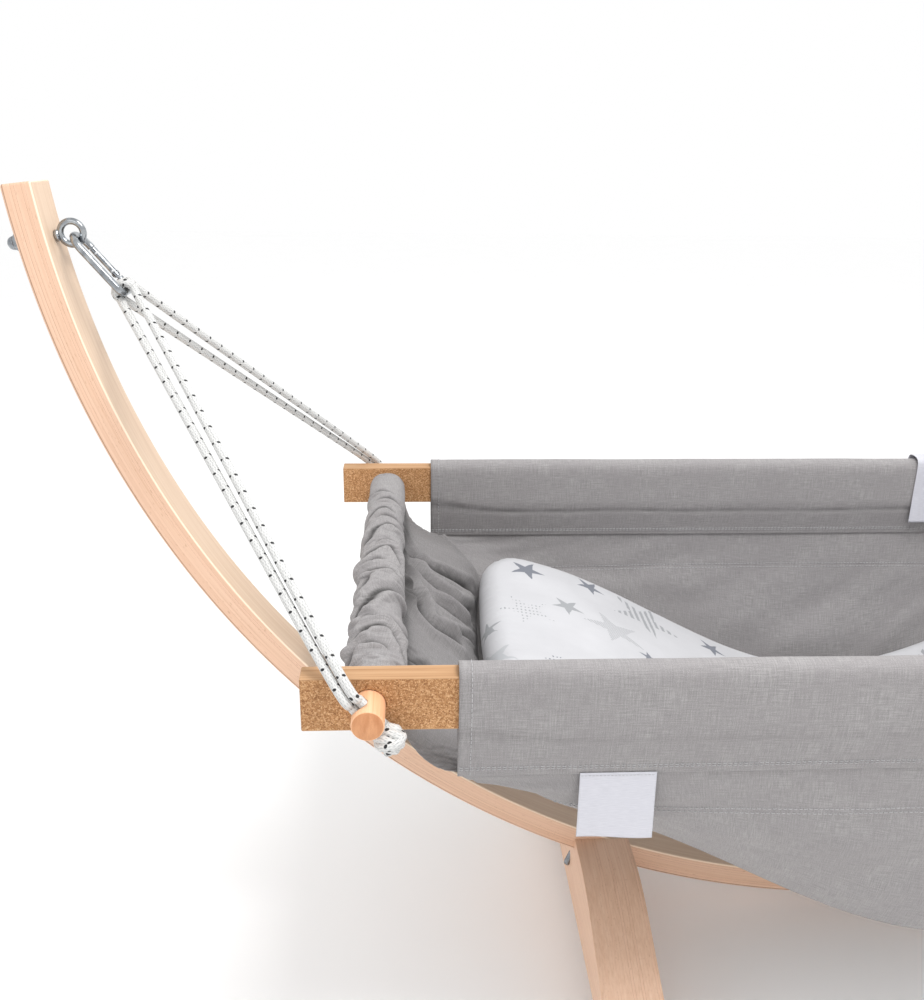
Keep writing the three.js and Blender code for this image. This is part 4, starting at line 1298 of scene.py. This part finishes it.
# Fold valleys of a gathered end: depth and half width in mm, then points as (across, down) in mm.
# Across runs near to far along the dowel, down runs round the dowel and on to the sewn edge.
CREASES = (
    (3.5, 4, ((85, 30), (109, 60), (120, 69), (122, 75), (119, 81), (114, 89))),
    (6, 4, ((16, 30), (40, 60), (58, 63), (65, 69), (72, 78), (68, 86), (67, 98), (65, 122))),
    (6, 4, ((163, 119), (144, 143), (132, 156), (121, 165))),
    (3, 3.5, ((-13, 33), (11, 63), (21, 69), (31, 78), (29, 86), (18, 95), (-1, 119))),
    (3, 3.5, ((96, 103), (96, 127), (96, 141), (96, 153))),
    (6, 4.5, ((-32, 28), (-8, 58), (-1, 63), (6, 72), (8, 83), (-3, 89), (-18, 98), (-37, 122))),
    (6, 4.5, ((71, 119), (52, 143), (42, 152), (20, 156))),
    (5, 3.5, ((-57, 25), (-33, 55), (-29, 60), (-23, 69), (-24, 78))),
    (5.5, 4, ((-55, 36), (-48, 66), (-46, 75), (-45, 86), (-51, 92), (-53, 104), (-57, 128))),
    (5.5, 4, ((8, 107), (8, 131), (8, 145), (8, 157))),
    (4.5, 4, ((-111, 28), (-87, 58), (-67, 60), (-56, 66), (-53, 72))),
    (7.5, 4.5, ((-148, 30), (-124, 60), (-109, 66), (-100, 72),
         (-92, 81), (-88, 89), (-85, 101), (-79, 125))),
    (7.5, 4.5, ((1, 126), (-8, 150), (-11, 158))),
    (3.5, 4, ((-129, 30), (-144, 60), (-147, 66), (-154, 72))),
    (4.5, 6, ((-144, 78), (-153, 89), (-158, 98), (-153, 112), (-120, 148), (-101, 172))),
    (7.5, 5, ((-202, 28), (-178, 58), (-171, 63), (-169, 72), (-168, 81),
         (-173, 89), (-186, 95), (-198, 101), (-211, 106), (-230, 130))),
    (4, 3, ((-208, 33), (-198, 63), (-196, 69), (-198, 78), (-200, 83), (-206, 86))),
    (6, 4, ((-232, 19), (-208, 49), (-198, 55), (-195, 60), (-196, 66))),
    (9, 6, ((116, 141), (121, 165), (126, 187), (135, 214), (159, 245), (165, 261))),
    (4, 3, ((120, 167), (133, 194), (142, 224), (161, 254), (152, 261))),
    (17, 9, ((86, 141), (80, 165), (76, 180), (77, 199), (83, 224), (108, 248), (114, 261))),
    (6, 5, ((49, 178), (47, 199), (58, 226), (91, 261))),
    (15, 8, ((39, 132), (20, 156), (-11, 158), (-19, 176), (-14, 197), (-3, 221))),
    (15, 8, ((34, 243), (34, 257), (34, 269))),
    (4.5, 3.5, ((12, 178), (14, 204), (44, 239), (52, 257))),
    (6, 5, ((-145, 121), (-130, 145), (-123, 156), (-120, 165))),
    (4, 4, ((150, 8), (146, 24), (140, 36))),
    (4.5, 4.5, ((96, 6), (90, 22), (84, 40), (88, 52))),
    (4, 4, ((24, 8), (18, 24), (24, 44))),
    (4.5, 4.5, ((-70, 6), (-76, 26), (-72, 46))),
    (4, 4, ((-160, 6), (-156, 26), (-162, 44))),
    (3, 3.5, ((176, 30), (178, 60), (172, 84))),
    (4, 4, ((150, 58), (154, 76), (146, 96), (150, 122))),
    (4, 4, ((92, 60), (98, 76), (92, 96), (104, 124))),
)


def attach_line(count):
    """Where the left end is sewn on, near to far: pocket corner, side panel's edge, bottom's edge."""
    half = []
    for b in np.linspace(0, 1, 9):
        x, y, z = side_point(-SLING_HALF, 1, b)
        half.append((x + 5 * MM, y - 1.6 * MM, z))
    for y in np.linspace(0.196, 0.0, 12):
        lift = corner_lift(SLING_HALF) * (y / BOTTOM_HALF) ** 3
        x = -SLING_HALF * end_reach(y / BOTTOM_HALF) + 13 * MM
        half.append((x, y, sling_z(SLING_HALF) + lift + 1.6 * MM))
    points = [(x, -y, z) for x, y, z in half] + half[-2::-1]
    line = smooth_route(points, 1 * MM)
    for _ in range(6):
        line[1:-1] = (line[:-2] + 2 * line[1:-1] + line[2:]) / 4
    run = lengths(line)
    return sample(line, run, np.linspace(0, run[-1], count))


def gathered_base():
    """The left end's cloth before its folds: rows round the dowel, then down to where it is sewn on."""
    u = np.linspace(-1, 1, COLUMNS)
    ends = attach_line(COLUMNS)
    y = u * GATHER_HALF
    mouth = np.clip(1 - (GATHER_HALF - np.abs(y)) / (9 * MM), 0, 1) ** 2.2
    grid = np.zeros((LOOP_ROWS + FAN_ROWS, COLUMNS, 3))
    for i, a in enumerate(np.linspace(LOOP_START, LOOP_STOP, LOOP_ROWS)):
        radius = SLEEVE_R - 3.0 * MM * mouth
        x = -DOWEL_X + SLEEVE_SHIFT + radius * math.cos(a)
        grid[i] = np.stack([x, y, RAIL_Z + radius * math.sin(a)], -1)
    top = grid[LOOP_ROWS - 1]
    edge = (np.abs(u) ** 6)[:, None]
    first = top + np.array((4.0, 0, -52.0)) * MM * (1 - 0.15 * edge)
    middle_pull, corner_pull = np.array((-15.0, 0, 70.0)) * MM, np.array((-22.0, 0, -10.0)) * MM
    last = ends + middle_pull * (1 - edge) + corner_pull * edge
    t = (np.arange(1, FAN_ROWS + 1) / FAN_ROWS)[:, None, None]
    r = 1 - t
    grid[LOOP_ROWS:] = r**3 * top + 3 * r**2 * t * first + 3 * r * t * t * last + t**3 * ends
    return grid


def run_down(grid):
    """Mean length down the cloth at each row."""
    return np.concatenate([[0], np.cumsum(np.linalg.norm(np.diff(grid, axis=0), axis=2).mean(axis=1))])


def crease_depth(across, down):
    """Fold depth in metres at each point of the cloth, ridges above 0 and valleys below."""
    depth = np.zeros(across.shape)
    for deep, width, line in CREASES:
        line = np.array(line) * MM
        best = np.full(across.shape, 1.0)
        place = np.zeros(across.shape)
        run = 0.0
        for a, b in zip(line[:-1], line[1:]):
            step = b - a
            length = np.hypot(*step)
            share = np.clip(((across - a[0]) * step[0] + (down - a[1]) * step[1]) / length**2, 0, 1)
            gap = np.hypot(across - a[0] - share * step[0], down - a[1] - share * step[1])
            place = np.where(gap < best, run + share * length, place)
            best = np.minimum(gap, best)
            run += length
        fade = np.clip(np.minimum(place, run - place) / (16 * MM), 0, 1) ** 0.6
        d = best / (width * MM)
        shape = -np.exp(-(d**1.2)) + 0.5 * np.exp(-(((d - 2.0) / 1.0) ** 2))
        depth += 1.35 * deep * MM * fade * shape
    return depth


def gathered_shape():
    """The left end's cloth with its folds, and the painted shade for its fold valleys and crevices."""
    grid = gathered_base()
    flat_down = run_down(grid)
    down = flat_down[:, None] + 0 * grid[:, :, 0]
    across = grid[:, :, 1]
    normal = surface_normal(grid)
    aside, above = grid[:LOOP_ROWS, :, 0] + DOWEL_X, grid[:LOOP_ROWS, :, 2] - RAIL_Z
    outward = np.stack([aside, 0 * aside, above], -1)
    sense = np.sign(np.sum(normal[: LOOP_ROWS // 2] * outward[: LOOP_ROWS // 2]))
    normal = normal * sense
    cap = np.clip((GATHER_HALF - np.abs(across)) / (40 * MM), 0, 1)
    cap = cap * cap * (3 - 2 * cap)
    sewn = np.clip((down[-1, 0] - down) / (28 * MM), 0, 1)
    broad = np.array([[wobble((q * 16, r * 5, 0), 1.0, 7.0) for q in across[0]] for r in flat_down])
    small = np.array([
        [wobble((q * 60 + r * 22, r * 14, 0), 1.0, 17.0) for q in across[0]] for r in flat_down
    ])
    depth = crease_depth(across, down)
    rise = depth + (2.6 * broad + 0.5 * small) * MM * cap
    on_sleeve = down < flat_down[LOOP_ROWS]
    deepest = np.where(on_sleeve, 6.5 + 3.0 * (grid[:, :, 0] > -DOWEL_X), 30.0) * MM
    rise = np.maximum(rise, -deepest)
    side = 1 - 0.85 * np.clip((np.abs(across) - 0.225) / 0.0185, 0, 1)
    # Painted shade: darker in the fold valleys, along the crevice under the sleeve and over the lower
    # fan.
    painted_valley_shade = np.clip(-depth / np.where(on_sleeve, 5 * MM, 9 * MM), 0, 1)
    painted_valley_shade = np.maximum(painted_valley_shade, 0.8 * np.exp(-(((down - 130 * MM) / (11 * MM)) ** 2)) * cap)
    shadow = 0.24 * np.clip((down - 120 * MM) / (30 * MM), 0, 1)
    painted_valley_shade = np.where(on_sleeve, painted_valley_shade, np.clip(painted_valley_shade**0.65 + shadow, 0, 1))
    return grid + normal * (rise * sewn * side)[..., None], painted_valley_shade * sewn


def gathered_cloth():
    grid, painted_valley_shade = gathered_shape()
    run = run_down(gathered_base())
    flat_u = np.linspace(-0.5, 0.5, COLUMNS) * GATHER_FLAT
    uv = np.stack(np.broadcast_arrays(flat_u[None, :], run[:, None]), -1)
    grid = simulate(grid)
    return grid, uv, painted_valley_shade, (GATHER_FLAT, float(run[-1]))


FRAMES = 8


def simulate(grid):
    """Lets the gathered cloth buckle between its sewn edges, round the dowel and against itself."""
    rows, columns = grid.shape[:2]
    cloth = make("gather_cloth", grid.reshape(-1, 3), grid_faces(rows, columns), CANVAS)
    cloth.shape_key_add(name="Basis")
    rest = cloth.shape_key_add(name="cut")
    cut = grid * np.array((1.0, SLACK, 1.0))
    rest.data.foreach_set("co", cut.astype(np.float32).ravel())
    group = cloth.vertex_groups.new(name="sewn")
    index = np.arange(rows * columns).reshape(rows, columns)
    group.add([int(i) for i in np.concatenate([index[0], index[-1]])], 1.0, "REPLACE")
    group.add([int(i) for i in np.concatenate([index[1:-1, 0], index[1:-1, -1]])], 0.55, "REPLACE")
    bar = cylinder("bar", DOWEL_R + 1 * MM, 0.26, (-DOWEL_X, 0, RAIL_Z), (0, 1, 0), DOWEL_WOOD, 40)
    bar.modifiers.new("collision", "COLLISION")
    bar.collision.thickness_outer = 1.5 * MM
    made = cloth.modifiers.new("cloth", "CLOTH")
    settings = made.settings
    settings.quality, settings.mass = 7, 0.25
    settings.tension_stiffness = settings.compression_stiffness = 18
    settings.shear_stiffness, settings.bending_stiffness = 8, 4.0
    settings.tension_damping = settings.compression_damping = 12
    settings.bending_damping, settings.air_damping = 2.0, 4.0
    settings.vertex_group_mass, settings.pin_stiffness = "sewn", 1.0
    settings.rest_shape_key = rest
    settings.effector_weights.gravity = 0.25
    made.collision_settings.distance_min = 1.5 * MM
    made.collision_settings.use_self_collision = True
    made.collision_settings.self_distance_min = 1.6 * MM
    made.collision_settings.collision_quality = 2
    made.point_cache.frame_start, made.point_cache.frame_end = 1, FRAMES
    scene = bpy.context.scene
    for number in range(1, FRAMES + 1):
        scene.frame_set(number)
    done = cloth.evaluated_get(bpy.context.evaluated_depsgraph_get())
    points = np.zeros(rows * columns * 3)
    done.data.vertices.foreach_get("co", points)
    points = points.reshape(rows, columns, 3)
    scene.frame_set(1)
    bpy.data.objects.remove(cloth)
    bpy.data.objects.remove(bar)
    move = points - grid
    size = np.linalg.norm(move, axis=2, keepdims=True)
    limit = np.where(np.arange(rows) < LOOP_ROWS, 5 * MM, 2 * MM)[:, None, None]
    return grid + move * np.minimum(1, limit / np.maximum(size, 1e-9))


def gathered_ends():
    grid, uv, painted_valley_shade, flat = gathered_cloth()
    for name, end in ENDS:
        turn = np.array((-end, -end, 1.0))
        cloth = sheet_grid(f"gathered_end_{name}", grid * turn, uv, GATHER_CLOTH,
                           level=1, back=SHADED_CANVAS, painted_crease_shade=painted_valley_shade)
        settle(cloth, "cradle", "canvas", f"end_panel_{name}", f"gathered_sleeve_{name}")


# ---- Mattress ------------------------------------------------------------
PAD_X, PAD_Y, PAD_Z = 443 * MM, 199 * MM, 28.5 * MM
PAD_CORNER, PAD_ROLL, PAD_COUNT = 45 * MM, 26 * MM, 460


def pad_outline(inset):
    """Points of a rounded rectangle that far inside the plan, with their outward directions."""
    a, b = PAD_X - inset, PAD_Y - inset
    r = max(min(PAD_CORNER - inset * 0.55, b), 0.2 * MM)
    x, y = a - r, b - r
    centres = ((x, y), (-x, y), (-x, -y), (x, -y))
    straights = (2 * max(y, 0), 2 * x) * 2
    total = sum(straights) + 2 * math.pi * r
    points, out = [], []
    for i in range(PAD_COUNT):
        s = (i / PAD_COUNT) * total
        for quarter, (centre, length) in enumerate(zip(centres, straights)):
            turn = quarter * math.pi / 2
            if s < length:
                before = centres[quarter - 1]
                share = s / length if length else 0
                start = [p + (q - p) * share for p, q in zip(before, centre)]
                angle = turn
                break
            s -= length
            if s < r * math.pi / 2:
                start, angle = centre, turn + s / r
                break
            s -= r * math.pi / 2
        points.append((start[0] + r * math.cos(angle), start[1] + r * math.sin(angle)))
        out.append((math.cos(angle), math.sin(angle)))
    return np.array(points), np.array(out)


def mattress():
    half_x, half_y, half_z, roll = PAD_X, PAD_Y, PAD_Z, PAD_ROLL
    levels = [(roll * (1 - math.cos(b)), math.sin(b)) for b in np.linspace(0, math.pi / 2, 12)]
    levels += [(roll + d, 1.0) for d in np.linspace(0, half_y - roll - 1 * MM, 36)[1:]]
    levels = [(d, h, 1) for d, h in reversed(levels)] + [(d, -h, -1) for d, h in levels[1:]]

    rings, uvs = [], []
    for inset, height, face in levels:
        plan, out = pad_outline(inset)
        x, y = plan[:, 0], plan[:, 1]
        at_end = np.clip((np.abs(x) - (half_x - 0.075)) / 0.05, 0, 1)
        bulge = 10 * MM * np.clip(1 - inset / 0.09, 0, 1)
        wave = np.cos(np.clip(np.abs(y) / half_y, 0, 1) * math.pi / 2)
        x = x + np.sign(x) * at_end * (bulge * wave - 3 * MM)
        shift = np.array([wobble((q, p * 3, 0), 30.0, 61.0) for p, q in zip(x, y)])
        pleat = np.sin(2 * np.pi * y / (8.6 * MM) + 1.6 * shift)
        near_end = at_end * math.exp(-((inset - 8 * MM) / (26 * MM)) ** 2)
        crown = 3.5 * MM * min(1, max(0, (inset - roll) / 0.1)) if face > 0 else 0
        wrinkle = np.array([
            wobble((p, q, face), 9.0, 71.0) + 0.5 * wobble((p, q, face), 24.0, 75.0) for p, q in zip(x, y)
        ])
        wrinkle = wrinkle * 1.5 * MM * min(1.0, inset / 0.03) if face > 0 else 0 * wrinkle
        tuft = 1.5 * MM * pleat * near_end * (1 if face > 0 else 0.4)
        sides = 9 * MM * np.abs(y / half_y) ** 2.2
        z = sling_z(x) + 2.6 * MM + half_z + height * half_z + crown + wrinkle + tuft + sides
        rings.append(np.stack([x, y, z], -1))
        spread = 0
        if inset < roll:
            spread = roll * (math.pi / 2 - math.asin(min(1.0, abs(height)))) - (roll - inset)
        if face < 0:
            spread = spread + 2 * (roll * math.pi / 2 - roll)
        uvs.append(plan + out * spread)
    grid, uv = np.array(rings), np.array(uvs)
    faces = grid_faces(len(rings), PAD_COUNT, close_columns=True)
    pad = make("mattress_pad", grid.reshape(-1, 3), faces, COTTON, uv.reshape(-1, 2))
    work = bmesh.new()
    work.from_mesh(pad.data)
    bmesh.ops.holes_fill(work, edges=[e for e in work.edges if e.is_boundary], sides=0)
    bmesh.ops.triangulate(work, faces=[f for f in work.faces if len(f.verts) > 4])
    bmesh.ops.recalc_face_normals(work, faces=work.faces)
    for f in work.faces:
        f.smooth = True
    work.to_mesh(pad.data)
    work.free()
    settle(pad, "mattress", "printed_cotton", "mattress")


# ---- Labels --------------------------------------------------------------
def hanging_label():
    low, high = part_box("label_near")
    xs, zs = np.linspace(low.x, high.x, 40), np.linspace(high.z, low.z, 50)
    grid = np.zeros((len(xs), len(zs), 3))
    for i, x in enumerate(xs):
        for j, z in enumerate(zs):
            t = (high.z - z) / (high.z - low.z)
            curl = 1.6 * MM * t * t * math.sin((i / (len(xs) - 1) - 0.5) * math.pi)
            curl += 0.7 * MM * wobble((x, z, 0), 40.0, 81.0) * t
            grid[i, j] = (x, (low.y + high.y) / 2 - 0.6 * MM * t - curl, z)
    uv = grid[:, :, (0, 2)] - np.array((low.x, low.z))
    label = sheet_grid("satin_label", grid, uv, 0.45 * MM, SATIN)
    settle(label, "cradle", "satin_ribbon", "label_near")
    out = np.tile((0.0, -1.0, 0.0), (len(xs), 1))
    row = stitches("sewn", grid[:, 2] + out * 0.25 * MM, out, 2.2 * MM, 0.8 * MM, 0.2 * MM)
    seam = settle(merged("label_stitching", [row]), "cradle", "satin_ribbon")


def folded_label():
    low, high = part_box("label_far")
    half = [(0, 33.7), (6.5, 33.2), (10.6, 31.2), (12.6, 27), (13.2, 20), (13.2, 0)]
    half += [(13.4, -30), (13.6, -52)]
    profile = np.array([(-y, z) for y, z in reversed(half[1:])] + half) * MM
    run = lengths(profile)
    marks = np.linspace(0, run[-1], 80)
    y, z = sample(profile, run, marks).T
    xs = np.linspace(low.x, high.x, 30)
    grid = np.zeros((len(xs), len(marks), 3))
    for i, x in enumerate(xs):
        loose = 0.4 * MM * np.array([wobble((x, m, 0), 30.0, 91.0) for m in marks])
        out = y + np.sign(y) * (0.4 * MM + loose)
        grid[i] = np.stack([0 * y + x, RAIL_Y + out, RAIL_Z + z + 0.3 * MM], -1)
    label = sheet_grid("folded_label", grid, uv_grid(xs - low.x, marks), 0.5 * MM, SATIN)
    settle(label, "cradle", "satin_ribbon", "label_far")


# ---- The scene -----------------------------------------------------------
for end_name, end_sign in ENDS:
    bow_half(end_name, end_sign)
    eye_bolt(end_name, end_sign)
    hook(end_name, end_sign)
    dowel(end_name, end_sign)
    for side_name, side_sign in SIDES:
        knot(end_name, side_name, end_sign, side_sign, 0.7 * (end_sign + 2 * side_sign))
splice()
feet()
ropes()
for side_name, side_sign in SIDES:
    rail(side_name, side_sign)
    pocket(side_name, side_sign)
    side_panel(side_name, side_sign)
bottom_panel()
gathered_ends()
mattress()
hanging_label()
folded_label()

FLOOR_HALF, FLOOR_DROP = 9, 1 * MM
corners = ((-1, -1), (1, -1), (1, 1), (-1, 1))
floor_corners = [(x * FLOOR_HALF, y * FLOOR_HALF, -FLOOR_DROP) for x, y in corners]
floor = make("studio_floor", floor_corners, [(0, 1, 2, 3)], floor_paint())
